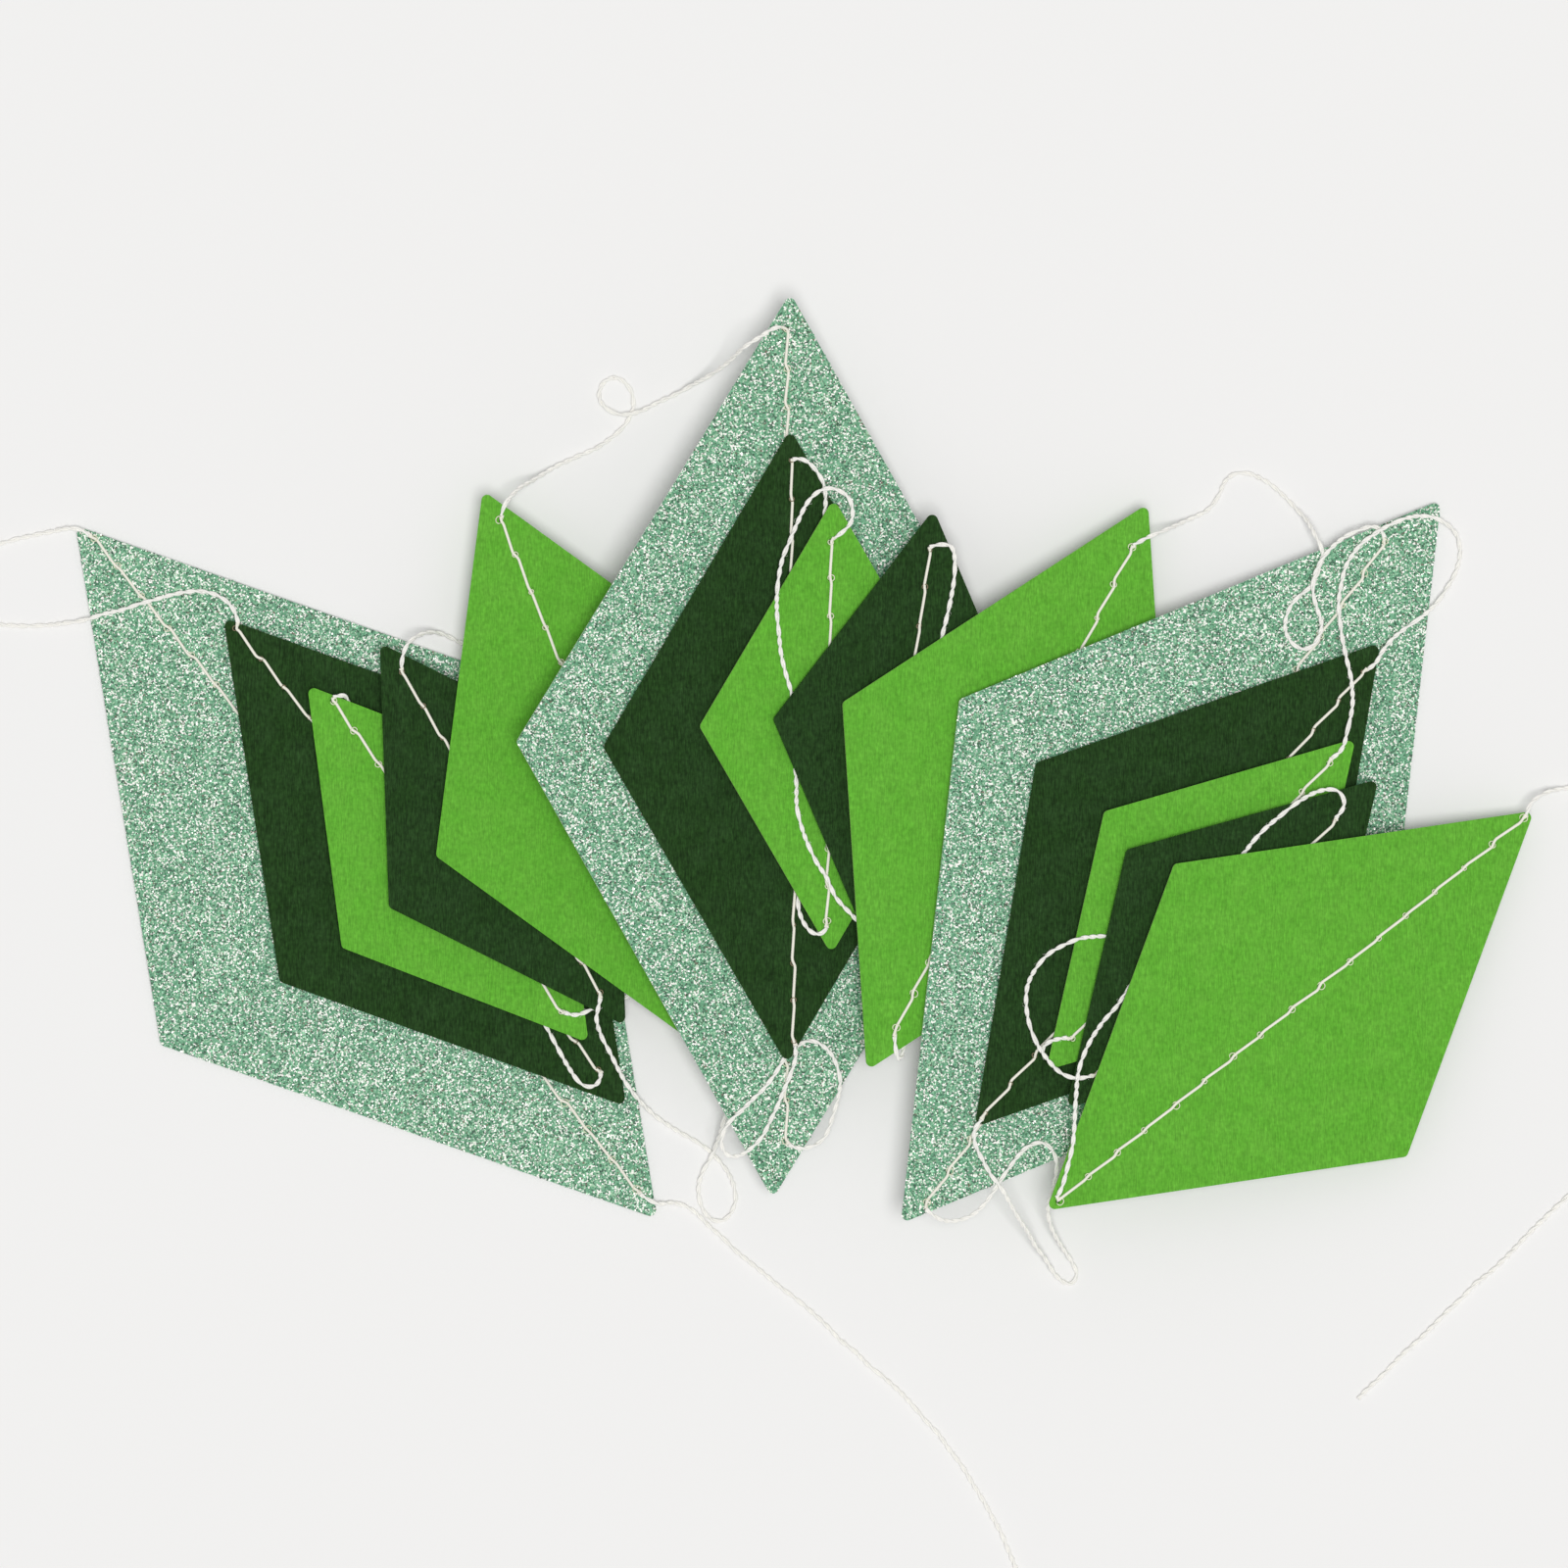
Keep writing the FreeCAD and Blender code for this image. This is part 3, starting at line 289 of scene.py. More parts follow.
        ("right_light_small", (58.1, 1.8, 0.1), (57.5, 0.8), (56.7, 0.2)),
    ],
    "thread_span_13": [
        ("right_light_small", (28.2, -29.9), (27.2, -30.0), (26.1, -30.4)),
        ("right_dark", (25.5, -31.2, 0.5), (26.0, -32.1), (27.4, -32.1), (29.2, -31.7),
         (30.8, -32.4, 0.3), (32.0, -33.1, 0.8)),
        ("right_light_small", (33.2, -32.7), (34.0, -31.1), (34.5, -28.8, 0.1), (33.8, -26.0, 0.31),
         (33.7, -23.3, 0.31), (34.3, -20.9), (33.9, -19.4), (32.4, -18.8), (30.8, -19.0),
         (29.2, -19.3, 0.12), (27.7, -19.9, -0.1)),
        ("right_dark", (26.2, -20.7, 0.4), (25.0, -22.1), (24.0, -23.9), (23.7, -26.0),
         (24.0, -28.1, 0.1), (24.7, -30.0, 0.9), (25.6, -31.6, 1.2)),
        ("right_light_small", (26.7, -32.9, 0.25), (27.7, -33.7, 1.1)),
        ("right_dark_small", (28.8, -34.2, 0.1), (29.9, -34.2), (30.8, -33.9)),
    ],
    "thread_span_14": [
        ("right_dark_small", (57.2, -6.3), (57.9, -5.5), (58.1, -4.4), (57.5, -3.3), (56.2, -3.1),
         (54.6, -3.5), (52.6, -4.7), (50.5, -6.4), (48.6, -8.2), (46.6, -10.7), (44.1, -12.8),
         (41.4, -15.9), (39.0, -19.3), (36.5, -22.2), (34.3, -25.3), (32.6, -27.5), (31.1, -29.6),
         (29.8, -31.8, 0.3), (29.3, -34.0, 0.5), (29.1, -36.1, 0.8)),
        ("right_light", (29.1, -38.4), (29.0, -40.6), (28.5, -42.8), (28.0, -44.7), (27.5, -46.1),
         (27.1, -46.8)),
    ],
    "end_thread": [
        ("right_light", (77.7, -5.9), (78.0, -4.7), (79.1, -3.9, -0.6)),
        ("table", (80.6, -3.3, 1.0), (82.5, -2.9), (86.3, -2.7), (90.9, -4.0), (94.6, -7.1),
         (97.2, -11.6), (98.4, -16.8), (98.3, -22.6), (96.8, -28.4), (94.1, -33.9), (90.3, -38.8),
         (86.1, -43.1), (82.2, -47.0), (78.7, -50.2), (75.0, -54.1), (71.0, -57.6), (67.4, -61.4),
         (63.3, -65.0), (59.7, -68.8)),
    ],
}


# Geometry of the frame

def node_mesh(node):
    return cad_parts[node].data


def kind_of(card):
    return card.split("_", 1)[1]


def card_plane(card):
    """A card's top face: height over the origin, slope along X, slope along Y."""
    normal, middle, area = Vector(), Vector(), 0.0
    for face in node_mesh(card + "_diamond").polygons:
        if face.normal.z > FACES_UP:
            normal += face.normal * face.area
            middle += face.center * face.area
            area += face.area
    middle /= area
    slope_x, slope_y = -normal.x / normal.z, -normal.y / normal.z
    return (middle.z - slope_x * middle.x - slope_y * middle.y, slope_x, slope_y)


def height(plane, x, y):
    return plane[0] + plane[1] * x + plane[2] * y


CARDS = sorted(name[:-len("_diamond")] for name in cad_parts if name.endswith("_diamond"))
TOPS = {card: card_plane(card) for card in CARDS}


# Thread meshes

def even_points(points, step):
    """The same line with its points a step apart."""
    points = np.asarray(points, float)
    along = np.r_[0, np.cumsum(np.linalg.norm(np.diff(points, axis=0), axis=1))]
    count = max(2, int(round(along[-1] / step)) + 1)
    wanted = np.linspace(0, along[-1], count)
    return np.stack([np.interp(wanted, along, points[:, axis]) for axis in range(3)], axis=1)


def unit(vectors):
    return vectors / np.linalg.norm(vectors, axis=-1, keepdims=True)


def side_vectors(points):
    """Two directions square to the line at each point, carried along it without twist."""
    tangents = unit(np.gradient(points, axis=0))
    side = np.cross(tangents[0], (0, 0, 1))
    if np.linalg.norm(side) < 0.1:
        side = np.cross(tangents[0], (1, 0, 0))
    first = np.empty_like(points)
    for number, tangent in enumerate(tangents):
        side = side - tangent * np.dot(side, tangent)
        side = side / np.linalg.norm(side)
        first[number] = side
    return first, np.cross(tangents, first)


def ply_tube(points, radius, sides):
    """A thread with the ridges of its plies round it, as vertices and faces."""
    first, second = side_vectors(points)
    step = np.linalg.norm(points[1] - points[0])
    along = np.arange(len(points)) * step
    angles = np.arange(sides) * 2 * math.pi / sides
    ridge = np.cos(PLIES * (angles[None, :] - 2 * math.pi * along[:, None] / PLY_TWIST))
    reach = radius * (1 - PLY_DEPTH / 2 + PLY_DEPTH / 2 * ridge)
    ring = (np.cos(angles)[None, :, None] * first[:, None, :]
            + np.sin(angles)[None, :, None] * second[:, None, :])
    vertices = (points[:, None, :] + reach[:, :, None] * ring).reshape(-1, 3)
    rows, columns = np.meshgrid(np.arange(len(points) - 1), np.arange(sides), indexing="ij")
    here = rows * sides + columns
    beside = rows * sides + (columns + 1) % sides
    faces = np.stack([here, beside, beside + sides, here + sides], axis=-1).reshape(-1, 4).tolist()
    faces.append(list(range(sides))[::-1])
    last = (len(points) - 1) * sides
    faces.append(list(range(last, last + sides)))
    return vertices, faces


def hand_in(piece):
    """Ties a piece to the one body."""
    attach(piece, "root")


def make_piece(name, parts, material):
    """One object of the part from several lots of vertices and faces."""
    vertices, faces, start = [], [], 0
    for part_vertices, part_faces in parts:
        vertices.append(part_vertices)
        faces += [[index + start for index in face] for face in part_faces]
        start += len(part_vertices)
    mesh = bpy.data.meshes.new(name)
    mesh.from_pydata(np.concatenate(vertices).tolist(), [], faces)
    mesh.polygons.foreach_set("use_smooth", [True] * len(mesh.polygons))
    mesh.materials.append(material)
    piece = bpy.data.objects.new(name, mesh)
    bpy.context.scene.collection.objects.link(piece)
    hand_in(piece)
    return piece


def waver(draw, along):
    """A number between -1 and 1 that drifts along a thread."""
    knots = np.arange(0, along[-1] + 2 * WAVER_STEP, WAVER_STEP)
    return np.interp(along, knots, draw.uniform(-1, 1, len(knots)))


def twisted_pair(points, seed):
    """Two threads turned round each other along a line, unevenly as loose thread is."""
    points = even_points(points, PAIR_STEP)
    first, second = side_vectors(points)
    along = np.arange(len(points)) * np.linalg.norm(points[1] - points[0])
    draw = np.random.default_rng(seed)
    points = points + WOBBLE * waver(draw, along)[:, None] * first
    turn = 2 * math.pi * along / PAIR_TWIST + TWIST_DRIFT * waver(draw, along)
    parts = []
    for start in (0, math.pi):
        offset = (np.cos(turn + start)[:, None] * first + np.sin(turn + start)[:, None] * second)
        parts.append(ply_tube(points + PAIR_OFFSET * offset, STRAND_RADIUS, PAIR_SIDES))
    return parts


def lint_hairs(points, seed):
    """Fine fibre ends that stand off a free pair, over and beside it."""
    first, second = side_vectors(points)
    tangents = unit(np.gradient(points, axis=0))
    length = np.linalg.norm(np.diff(points, axis=0), axis=1).sum()
    draw = np.random.default_rng(100 + seed)
    parts = []
    for _ in range(int(length / LINT_SPACING)):
        spot = draw.integers(1, len(points) - 1)
        angle = draw.uniform(0, math.pi)
        out = math.cos(angle) * first[spot] - math.sin(angle) * second[spot]
        lean = draw.uniform(-LINT_LEAN, LINT_LEAN) * tangents[spot]
        reach = draw.uniform(*LINT_REACH)
        root = points[spot] + out * PAIR_OFFSET
        bend = root + (out + lean) * reach / 2
        tip = bend + (out / 4 + lean) * reach / 2
        ring = LINT_RADIUS * np.stack([first[spot], second[spot], -first[spot] - second[spot]])
        vertices = np.concatenate([root + ring, bend + ring, [tip]])
        faces = [[0, 2, 1], [0, 1, 4, 3], [1, 2, 5, 4], [2, 0, 3, 5], [3, 4, 6], [4, 5, 6], [5, 3, 6]]
        parts.append((vertices, faces))
    return parts


# Routes of the free thread

def route_controls(route):
    """Control points of a route, in metres, resting on what the thread lies on."""
    controls = []
    for stretch in route:
        host = stretch[0]
        for point in stretch[1:]:
            x, y = point[0] * MM, point[1] * MM
            lift = point[2] * MM if len(point) > 2 else 0.0
            lying = 0.0 if host == "table" else height(TOPS[host], x, y) + LAY_CLEARANCE
            controls.append((x, y, lying + PAIR_REACH + lift))
    return controls


def coil_controls(before, last):
    """Turns of the put-away coil, going on to the left from the end of the lead."""
    last, before = Vector(last), Vector(before)
    ahead = (last - before).normalized()
    left = Vector((-ahead.y, ahead.x, 0)).normalized()
    outer = (COIL_MIDDLE + COIL_PITCH * COIL_TURNS) / 2
    reach = math.sqrt((outer + PAIR_DIAMETER / 2) ** 2 - (outer - PAIR_DIAMETER / 2) ** 2)
    centre = last + left * outer + ahead * reach
    controls = []
    for number in range(int(COIL_TURNS * COIL_STEPS) + 1):
        turns = number / COIL_STEPS
        radius = outer - COIL_PITCH * turns
        angle = 2 * math.pi * turns
        spot = centre - left * radius * math.cos(angle) + ahead * radius * math.sin(angle)
        controls.append((spot.x, spot.y, PAIR_REACH))
    return controls


def spline_points(name, controls):
    """Points of the smooth line that the control points steer."""
    curve = bpy.data.curves.new(name + "_line", "CURVE")
    curve.dimensions = "3D"
    curve.resolution_u = LINE_STEPS
    spline = curve.splines.new("NURBS")
    spline.points.add(len(controls) - 1)
    for point, place in zip(spline.points, controls):
        point.co = (*place, 1.0)
    spline.order_u = 3
    spline.use_endpoint_u = True
    holder = bpy.data.objects.new(name + "_line", curve)
    line = bpy.data.meshes.new_from_object(holder)
    points = [tuple(vertex.co) for vertex in line.vertices]
    bpy.data.objects.remove(holder)
    bpy.data.curves.remove(curve)
    bpy.data.meshes.remove(line)
    return points


def make_cord(node, material):
    """One free stretch of thread with its lint; gives the places of its two ends."""
    controls = route_controls(ROUTES[node])
    nodes, far_end = [node], "object"
    if node == "start_thread":
        controls += coil_controls(controls[-2], controls[-1])
        nodes.append("start_thread_coil")
    if node in ("start_thread", "end_thread"):
        far_end = "bare"
    points = spline_points(node, controls)
    seed = SEED + list(ROUTES).index(node)
    piece = make_piece(node + "_pair", twisted_pair(points, seed), material)
    make_piece(node + "_lint", lint_hairs(even_points(points, LINT_STEP), seed), material)
    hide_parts(*nodes)
    return np.array(points[0]), np.array(points[-1])


# Rows of stitches

def seam_line(card):
    """Where a row's first and last holes are, read from its solids."""
    mesh = node_mesh(card + "_stitches")
    places = np.array([tuple(vertex.co) for vertex in mesh.vertices])
    middle = (places.max(axis=0) + places.min(axis=0)) / 2
    axis = np.linalg.svd(places - places.mean(axis=0), full_matrices=False)[2][0]
    reach = (places - middle) @ axis
    lateral = places - middle - reach[:, None] * axis
    middle = middle + (lateral.max(axis=0) + lateral.min(axis=0)) / 2
    start = middle + axis * (reach.min() + ROW_END)
    end = middle + axis * (reach.max() - ROW_END)
    return start, end


def seam_frame(card):
    """A row's holes on the card's top face, and the directions along it, across it and up."""
    start, end = seam_line(card)
    plane = TOPS[card]
    up = unit(np.array([-plane[1], -plane[2], 1.0]))
    run = end - start
    ahead = unit(run)
    count = round(np.linalg.norm(run) / STITCH)
    holes = []
    for number in range(count + 1):
        hole = start + run * number / count
        holes.append(hole + up * (height(plane, hole[0], hole[1]) - hole[2]))
    return holes, ahead, np.cross(up, ahead), up


def nearest(ends, hole):
    """The end of a free pair that lies nearest to a hole."""
    return min(ends, key=lambda end: np.linalg.norm(end - hole))


def stitch_rows(card, ends):
    """Needle thread on top and bobbin thread beneath; past the end holes both join the free pair."""
    holes, ahead, across, up = seam_frame(card)
    thick = THICKNESS[kind_of(card)]
    draw = random.Random(SEED + CARDS.index(card))
    slants = [draw.uniform(*SLANT) for _ in holes]
    start, end = nearest(ends, holes[0]), nearest(ends, holes[-1])
    parts = []
    for side in (1, -1):
        apart = across * side * PAIR_OFFSET
        points = [start + apart]
        face = side * (thick / 2 + ROW_RADIUS)
        dip = side * (ROW_RADIUS + LAY_CLEARANCE)
        for number, (hole, slant) in enumerate(zip(holes, slants)):
            shape = (ROW_IN if number else ()) + (ROW_OUT if number < len(holes) - 1 else ())
            for shift, rise, lean in shape:
                points.append(hole + ahead * shift * MM + across * slant * side * lean
                              + up * (dip + (face - dip) * rise - thick / 2))
        points.append(end + apart)
        parts.append(ply_tube(even_points(points, ROW_STEP), ROW_RADIUS, ROW_SIDES))
    return parts


def bobbin_loops(card, share):
    """The small ring of bobbin thread over the needle thread at each hole, at a share of its size."""
    holes, ahead, across, up = seam_frame(card)
    draw = random.Random(2 * SEED + CARDS.index(card))
    angles = np.linspace(-RING_OPEN, RING_OPEN, RING_STEPS)
    far = np.cos(angles)
    along = RING_AHEAD + RING_ALONG * far
    side = RING_ACROSS * np.sin(angles)
    rise = RING_LIE + RING_CROSS * np.clip(far, 0, 1) ** 3 - RING_DIP * np.clip(-far, 0, 1) ** 2
    parts = []
    for hole in holes:
        turn = draw.uniform(-RING_TURN, RING_TURN) + draw.choice((0, math.pi))
        size = draw.uniform(*RING_SIZE) * share * MM
        lengthwise = ahead * math.cos(turn) + across * math.sin(turn)
        sideways = across * math.cos(turn) - ahead * math.sin(turn)
        points = hole + size * (along[:, None] * lengthwise + side[:, None] * sideways)
        points = points + rise[:, None] * MM * up
        parts.append(ply_tube(points, RING_RADIUS, RING_SIDES))
    return parts


def hole_rims(card):
    """The uneven burr of card round each hole, which slopes in to the thread."""
    holes, ahead, across, up = seam_frame(card)
    draw = np.random.default_rng(3 * SEED + CARDS.index(card))
    angles = np.arange(RIM_SIDES) * 2 * math.pi / RIM_SIDES
    spokes = np.cos(angles)[:, None] * ahead + np.sin(angles)[:, None] * across
    around = np.arange(RIM_SIDES)
    beside = (around + 1) % RIM_SIDES
    faces = []
    for ring in range(3):
        here, above = ring * RIM_SIDES, (ring + 1) % 3 * RIM_SIDES
        faces += np.stack([here + around, here + beside, above + beside, above + around], 1).tolist()
    parts = []
    for hole in holes:
        reach = RIM_RADIUS * draw.uniform(0.93, 1.07, (RIM_SIDES, 1))
        crest = RIM_RISE * draw.uniform(0.35, 1.2, (RIM_SIDES, 1))
        rings = [hole + spokes * RIM_FOOT - up * RIM_RISE / 4, hole + spokes * RIM_LIP - up * RIM_DIP,
                 hole + spokes * reach + up * crest]
        parts.append((np.concatenate(rings), faces))
    return parts


# Materials

def new_material(name):
    """A material with its Principled shader, and a function that adds linked nodes to it."""
    material = bpy.data.materials.new(name)
    material.use_nodes = True
    tree = material.node_tree
    shader = tree.nodes["Principled BSDF"]

    def add(kind, settings=None, **inputs):
        node = tree.nodes.new(kind)
        for key, value in (settings or {}).items():
            setattr(node, key, value)
        for key, value in inputs.items():
            socket = node.inputs[int(key[1:])] if key[1:].isdigit() else node.inputs[key]
            if isinstance(value, bpy.types.NodeSocket):
                tree.links.new(value, socket)
            else:
                socket.default_value = value
        return node

    return material, tree, shader, add


def rgba(colour):
    return colour if isinstance(colour, bpy.types.NodeSocket) else (*colour, 1)


def shades(add, low, high, fac):
    """A colour between two, set or linked, by a factor."""
    mixed = add("ShaderNodeMix", {"data_type": "RGBA"}, _0=fac, _6=rgba(low), _7=rgba(high))
    return mixed.outputs[2]


def scaled(colour, factor):
    return tuple(channel * factor for channel in colour)


def object_noise(add, scale, detail):
    place = add("ShaderNodeTexCoord").outputs["Object"]
    return add("ShaderNodeTexNoise", Vector=place, Scale=scale, Detail=detail).outputs["Fac"]


def fibres(add, turn):
    """Noise drawn out one way, as short fibres lie in card."""
    place = add("ShaderNodeTexCoord").outputs["Object"]
    laid = add("ShaderNodeMapping", Vector=place, Rotation=(0, 0, turn),
               Scale=(FIBRES_ACROSS, FIBRES_ALONG, FIBRES_ACROSS))
    return add("ShaderNodeTexNoise", Vector=laid.outputs[0], Scale=1.0, Detail=2.0).outputs["Fac"]


def felted(add):
    """Fibres lying three ways over each other."""
    layers = [fibres(add, turn) for turn in FIBRE_TURNS]
    top = add("ShaderNodeMath", {"operation": "MAXIMUM"}, _0=layers[0], _1=layers[1]).outputs[0]
    return add("ShaderNodeMath", {"operation": "MAXIMUM"}, _0=top, _1=layers[2]).outputs[0]


def edge_share(add):
    """1 on a card's cut edge, 0 on its faces."""
    normal = add("ShaderNodeNewGeometry").outputs["True Normal"]
    upright = add("ShaderNodeSeparateXYZ", _0=normal).outputs["Z"]
    size = add("ShaderNodeMath", {"operation": "ABSOLUTE"}, _0=upright).outputs[0]
    return add("ShaderNodeMath", {"operation": "LESS_THAN"}, _0=size, _1=0.5).outputs[0]


def card_material(name, colours, edge_highlight, cloud, grain):
    """Matt dyed card: clouds in the dye, felted fibres and a cut edge painted paler as a highlight."""
    material, tree, shader, add = new_material(name)
    tint = add("ShaderNodeMapRange", _0=object_noise(add, TINT_SCALE, 3.0), _1=0.35, _2=0.65)
    dyed = shades(add, *colours, tint.outputs[0])
    depth = object_noise(add, CLOUD_SCALE, 3.0)
    fibre = felted(add)
    light = add("ShaderNodeMapRange", _0=depth, _1=0.25, _2=0.75, _3=1 - cloud, _4=1 + cloud)
    lint = add("ShaderNodeMapRange", _0=fibre, _1=0.45, _2=0.75, _3=1 - grain, _4=1 + grain)
    both = add("ShaderNodeMath", {"operation": "MULTIPLY"}, _0=light.outputs[0], _1=lint.outputs[0])
    shade = add("ShaderNodeCombineXYZ", _0=both.outputs[0], _1=both.outputs[0], _2=both.outputs[0])
    worn = add("ShaderNodeMix", {"data_type": "RGBA", "blend_type": "MULTIPLY"}, _0=1.0,
               _6=dyed, _7=shade.outputs[0])
    # Painted highlight: the cut edge is coloured paler than the face.
    cut = shades(add, worn.outputs[2], edge_highlight, edge_share(add))
    tree.links.new(cut, shader.inputs["Base Color"])
    bump = add("ShaderNodeBump", Height=fibre, Strength=BUMP_STRENGTH, Distance=FIBRE_BUMP)
    tree.links.new(bump.outputs[0], shader.inputs["Normal"])
    shader.inputs["Roughness"].default_value = 0.9
    shader.inputs["Specular IOR Level"].default_value = 0.12
    return material


def glitter_tones_and_glints(add, tone):
    """The colour of a speck of glitter from its own tone; the whitest tone is painted glint."""
    ramp = add("ShaderNodeValToRGB", _0=tone)
    ramp.color_ramp.interpolation = "CONSTANT"
    stops = ramp.color_ramp.elements
    stops.remove(stops[1])
    stops[0].position, stops[0].color = 0.0, (*GLITTER_TONES_AND_GLINTS[0][1], 1)
    for position, colour in GLITTER_TONES_AND_GLINTS[1:]:
        stops.new(position).color = (*colour, 1)
    return ramp.outputs[0]


def glitter_base_material():
    """Fine glitter between the flakes, with painted glints on a share of its specks; plain card on the
    back and the edge.
    """
    material, tree, shader, add = new_material("glitter_ground")
    place = add("ShaderNodeTexCoord").outputs["Object"]
    cells = add("ShaderNodeTexVoronoi", Vector=place, Scale=1 / SPECK_SIZE)
    tone = add("ShaderNodeSeparateColor", _0=cells.outputs["Color"])
    ground = glitter_tones_and_glints(add, tone.outputs[0])
    normal = add("ShaderNodeNewGeometry").outputs["True Normal"]
    upright = add("ShaderNodeSeparateXYZ", _0=normal).outputs["Z"]
    face = add("ShaderNodeMath", {"operation": "GREATER_THAN"}, _0=upright, _1=0.5).outputs[0]
    tree.links.new(shades(add, GLITTER_BACK, ground, face), shader.inputs["Base Color"])
    bump = add("ShaderNodeBump", Height=cells.outputs["Distance"], Strength=BUMP_STRENGTH,
               Distance=SPECK_BUMP)
    tree.links.new(bump.outputs[0], shader.inputs["Normal"])
    shader.inputs["Roughness"].default_value = 0.5
    return material


def flake_material():
    """Glitter flakes: white (painted glint), mint, brown and dark green by each flake's own tone."""
    material, tree, shader, add = new_material("glitter_flakes")
    tone = add("ShaderNodeAttribute", {"attribute_name": "tone"}).outputs["Fac"]
    tree.links.new(glitter_tones_and_glints(add, tone), shader.inputs["Base Color"])
    shader.inputs["Metallic"].default_value = 0.15
    shader.inputs["Roughness"].default_value = 0.3
    return material


def thread_material(name, colour):
    """Spun cotton: matt, with fine lint in its colour and surface."""
    material, tree, shader, add = new_material(name)
    lint = object_noise(add, LINT_SCALE, 3.0)
    slub = object_noise(add, SLUB_SCALE, 2.0)
    spun = shades(add, scaled(colour, 0.92), scaled(colour, 1.05), slub)
    tree.links.new(spun, shader.inputs["Base Color"])
    bump = add("ShaderNodeBump", Height=lint, Strength=BUMP_STRENGTH, Distance=LINT_BUMP)
    tree.links.new(bump.outputs[0], shader.inputs["Normal"])
    shader.inputs["Roughness"].default_value = 0.85
    shader.inputs["Specular IOR Level"].default_value = 0.2
    shader.inputs["Sheen Weight"].default_value = 0.25
    return material


# Cards

def flake_field(card, material):
    """Flat flakes strewn over a glitter card's top, each at its own tilt."""
    mesh = node_mesh(card + "_diamond")
    mesh.calc_loop_triangles()
    corners = np.array([[tuple(mesh.vertices[v].co) for v in triangle.vertices]
                        for triangle in mesh.loop_triangles if triangle.normal.z > FACES_UP])
    sides = np.cross(corners[:, 1] - corners[:, 0], corners[:, 2] - corners[:, 0])
    areas = np.linalg.norm(sides, axis=1) / 2
    draw = np.random.default_rng(SEED + CARDS.index(card))
    count = int(areas.sum() / MM ** 2 * FLAKES_PER_MM2)
    chosen = corners[draw.choice(len(corners), count, p=areas / areas.sum())]
    share = draw.random((count, 2))
    share = np.where(share.sum(axis=1, keepdims=True) > 1, 1 - share, share)
    places = (chosen[:, 0] + share[:, :1] * (chosen[:, 1] - chosen[:, 0])
              + share[:, 1:] * (chosen[:, 2] - chosen[:, 0]))
    up = unit(sides.sum(axis=0))
    normals = unit(up + draw.normal(0, FLAKE_TILT, (count, 3)))
    places = places + up * draw.uniform(*FLAKE_RISE, (count, 1))
    first = unit(np.cross(normals, draw.normal(0, 1, (count, 3))))
    second = np.cross(normals, first)
    radius = draw.uniform(*FLAKE_RADIUS, (count, 1, 1))
    angles = np.arange(FLAKE_SIDES) * 2 * math.pi / FLAKE_SIDES
    rings = places[:, None, :] + radius * (np.cos(angles)[None, :, None] * first[:, None, :]
                                           + np.sin(angles)[None, :, None] * second[:, None, :])
    faces = np.arange(count * FLAKE_SIDES).reshape(count, FLAKE_SIDES)
    field = bpy.data.meshes.new(card + "_flakes")
    field.from_pydata(rings.reshape(-1, 3).tolist(), [], faces.tolist())
    tone = field.attributes.new("tone", "FLOAT", "FACE")
    tone.data.foreach_set("value", draw.random(count))
    field.materials.append(material)
    piece = bpy.data.objects.new(card + "_flakes", field)
    bpy.context.scene.collection.objects.link(piece)
    hand_in(piece)


def paint(node, material):
    """Gives a node of the frame its finish in every material slot."""
    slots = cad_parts[node].data.materials
    for index in range(len(slots)):
        slots[index] = material


# The scene

def make_cards(ends):
    """Each card's finish, its glitter, the burrs round its holes, its stitches and their rings."""
    finishes = {
        "glitter": glitter_base_material(),
        "dark": card_material("dark_green_card", (DARK_GREEN, DARK_GREEN_WARM),
                              scaled(DARK_GREEN, DARK_EDGE_HIGHLIGHT), DARK_CLOUD, DARK_GRAIN),
        "light": card_material("light_green_card", (LIGHT_GREEN, LIGHT_GREEN_WARM),
                               LIGHT_GREEN_EDGE_HIGHLIGHT, LIGHT_CLOUD, LIGHT_GRAIN),
    }
    finishes["dark_small"] = finishes["dark"]
    finishes["light_small"] = finishes["light"]
    flakes = flake_material()
    thread = thread_material("stitch_cotton", STITCH_THREAD)
    loop_threads = {False: thread_material("loop_cotton", LOOP_THREAD),
                    True: thread_material("loop_cotton_darker_on_dark_card", LOOP_THREAD_DARK)}
    for card in CARDS:
        kind = kind_of(card)
        paint(card + "_diamond", finishes[kind])
        if kind == "glitter":
            flake_field(card, flakes)
        make_piece(card + "_hole_rims", hole_rims(card), finishes[kind])
        row = make_piece(card + "_thread_row", stitch_rows(card, ends), thread)
        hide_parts(card + "_stitches")
        on_dark = kind in ("dark", "dark_small")
        loops = bobbin_loops(card, DARK_RING_SHARE if on_dark else 1)
        make_piece(card + "_bobbin_loops", loops, loop_threads[on_dark])


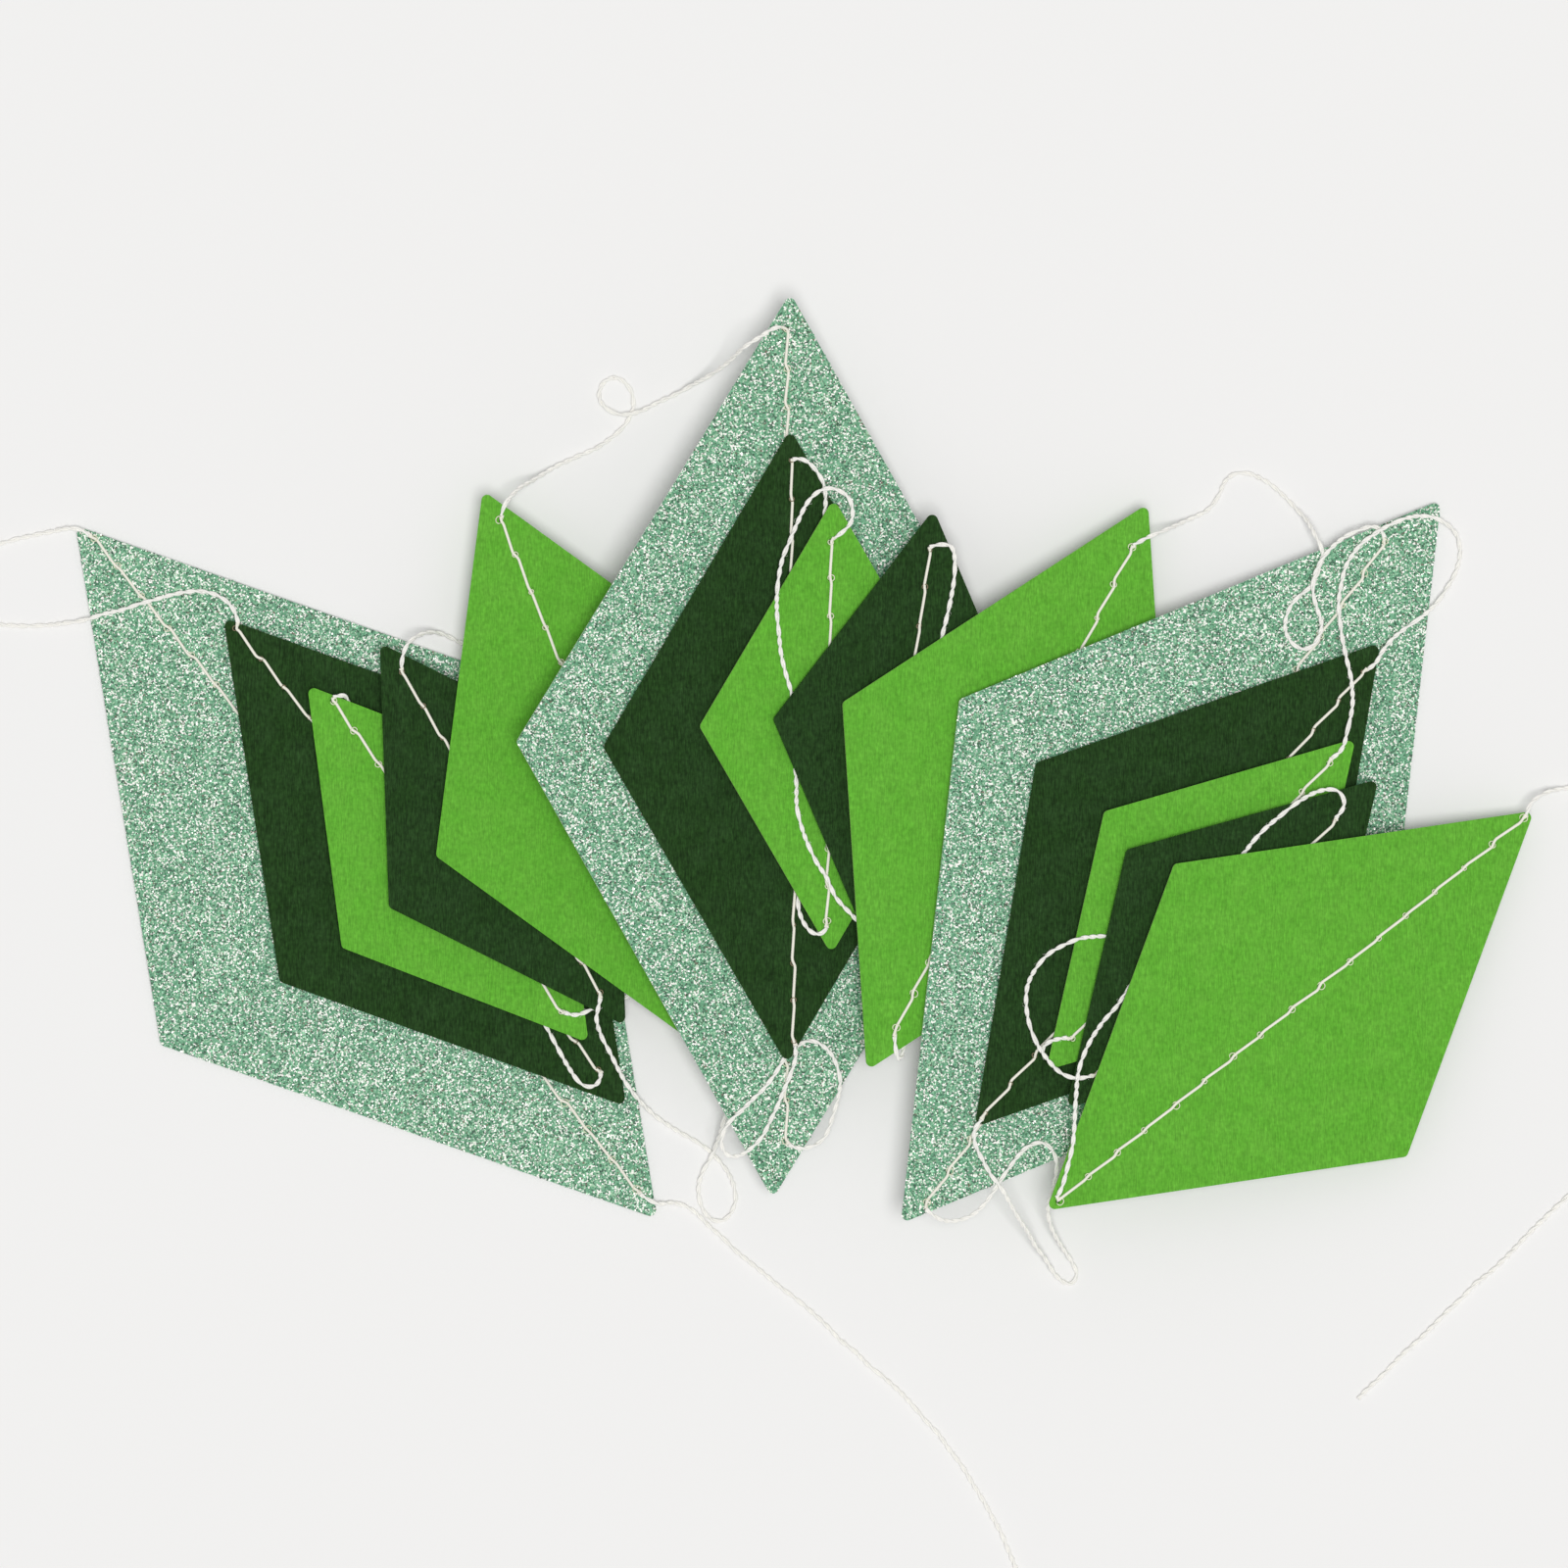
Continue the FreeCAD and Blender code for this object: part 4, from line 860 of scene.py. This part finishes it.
def make_cords():
    """The free stretches of thread, and where each one ends."""
    material = thread_material("pair_cotton", THREAD)
    ends = []
    for node in ROUTES:
        ends += make_cord(node, material)
    return ends


def make_stage():
    """A pale table, soft light from above and a little from the lower right, and the camera."""
    mesh = bpy.data.meshes.new("table")
    corners = [(TABLE_REACH * x, TABLE_REACH * y, 0) for x, y in ((-1, -1), (1, -1), (1, 1), (-1, 1))]
    mesh.from_pydata(corners, [], [(0, 1, 2, 3)])
    table = bpy.data.objects.new("table", mesh)
    bpy.context.scene.collection.objects.link(table)
    material, _, shader, _ = new_material("pale_table")
    shader.inputs["Base Color"].default_value = (*TABLE, 1)
    shader.inputs["Roughness"].default_value = 0.6
    mesh.materials.append(material)

    lamp = bpy.data.lights.new("window", "SUN")
    lamp.energy = LAMP_STRENGTH
    lamp.angle = math.radians(LAMP_SOFTNESS)
    window = bpy.data.objects.new("window", lamp)
    bpy.context.scene.collection.objects.link(window)
    window.rotation_euler = Vector(LAMP_FROM).to_track_quat("Z", "Y").to_euler()

    world = bpy.data.worlds.new("room")
    world.use_nodes = True
    bpy.context.scene.world = world
    nodes, links = world.node_tree.nodes, world.node_tree.links
    background = nodes["Background"]
    seen = nodes.new("ShaderNodeLightPath").outputs["Is Camera Ray"]
    strength = nodes.new("ShaderNodeMix")
    strength.inputs[2].default_value = ROOM_STRENGTH
    strength.inputs[3].default_value = BACKDROP_STRENGTH
    links.new(seen, strength.inputs[0])
    links.new(strength.outputs[0], background.inputs["Strength"])
    background.inputs["Color"].default_value = (1, 1, 1, 1)

    lens = bpy.data.cameras.new("camera")
    lens.sensor_width = SENSOR
    lens.lens = SENSOR * CAMERA_HEIGHT / FRAME_SIDE
    lens.clip_end = 10
    camera = bpy.data.objects.new("camera", lens)
    camera.location = (*FRAME_CENTRE, CAMERA_HEIGHT)
    bpy.context.scene.collection.objects.link(camera)
    bpy.context.scene.camera = camera
    bpy.context.scene.view_settings.view_transform = "Standard"


make_stage()
make_cards(make_cords())
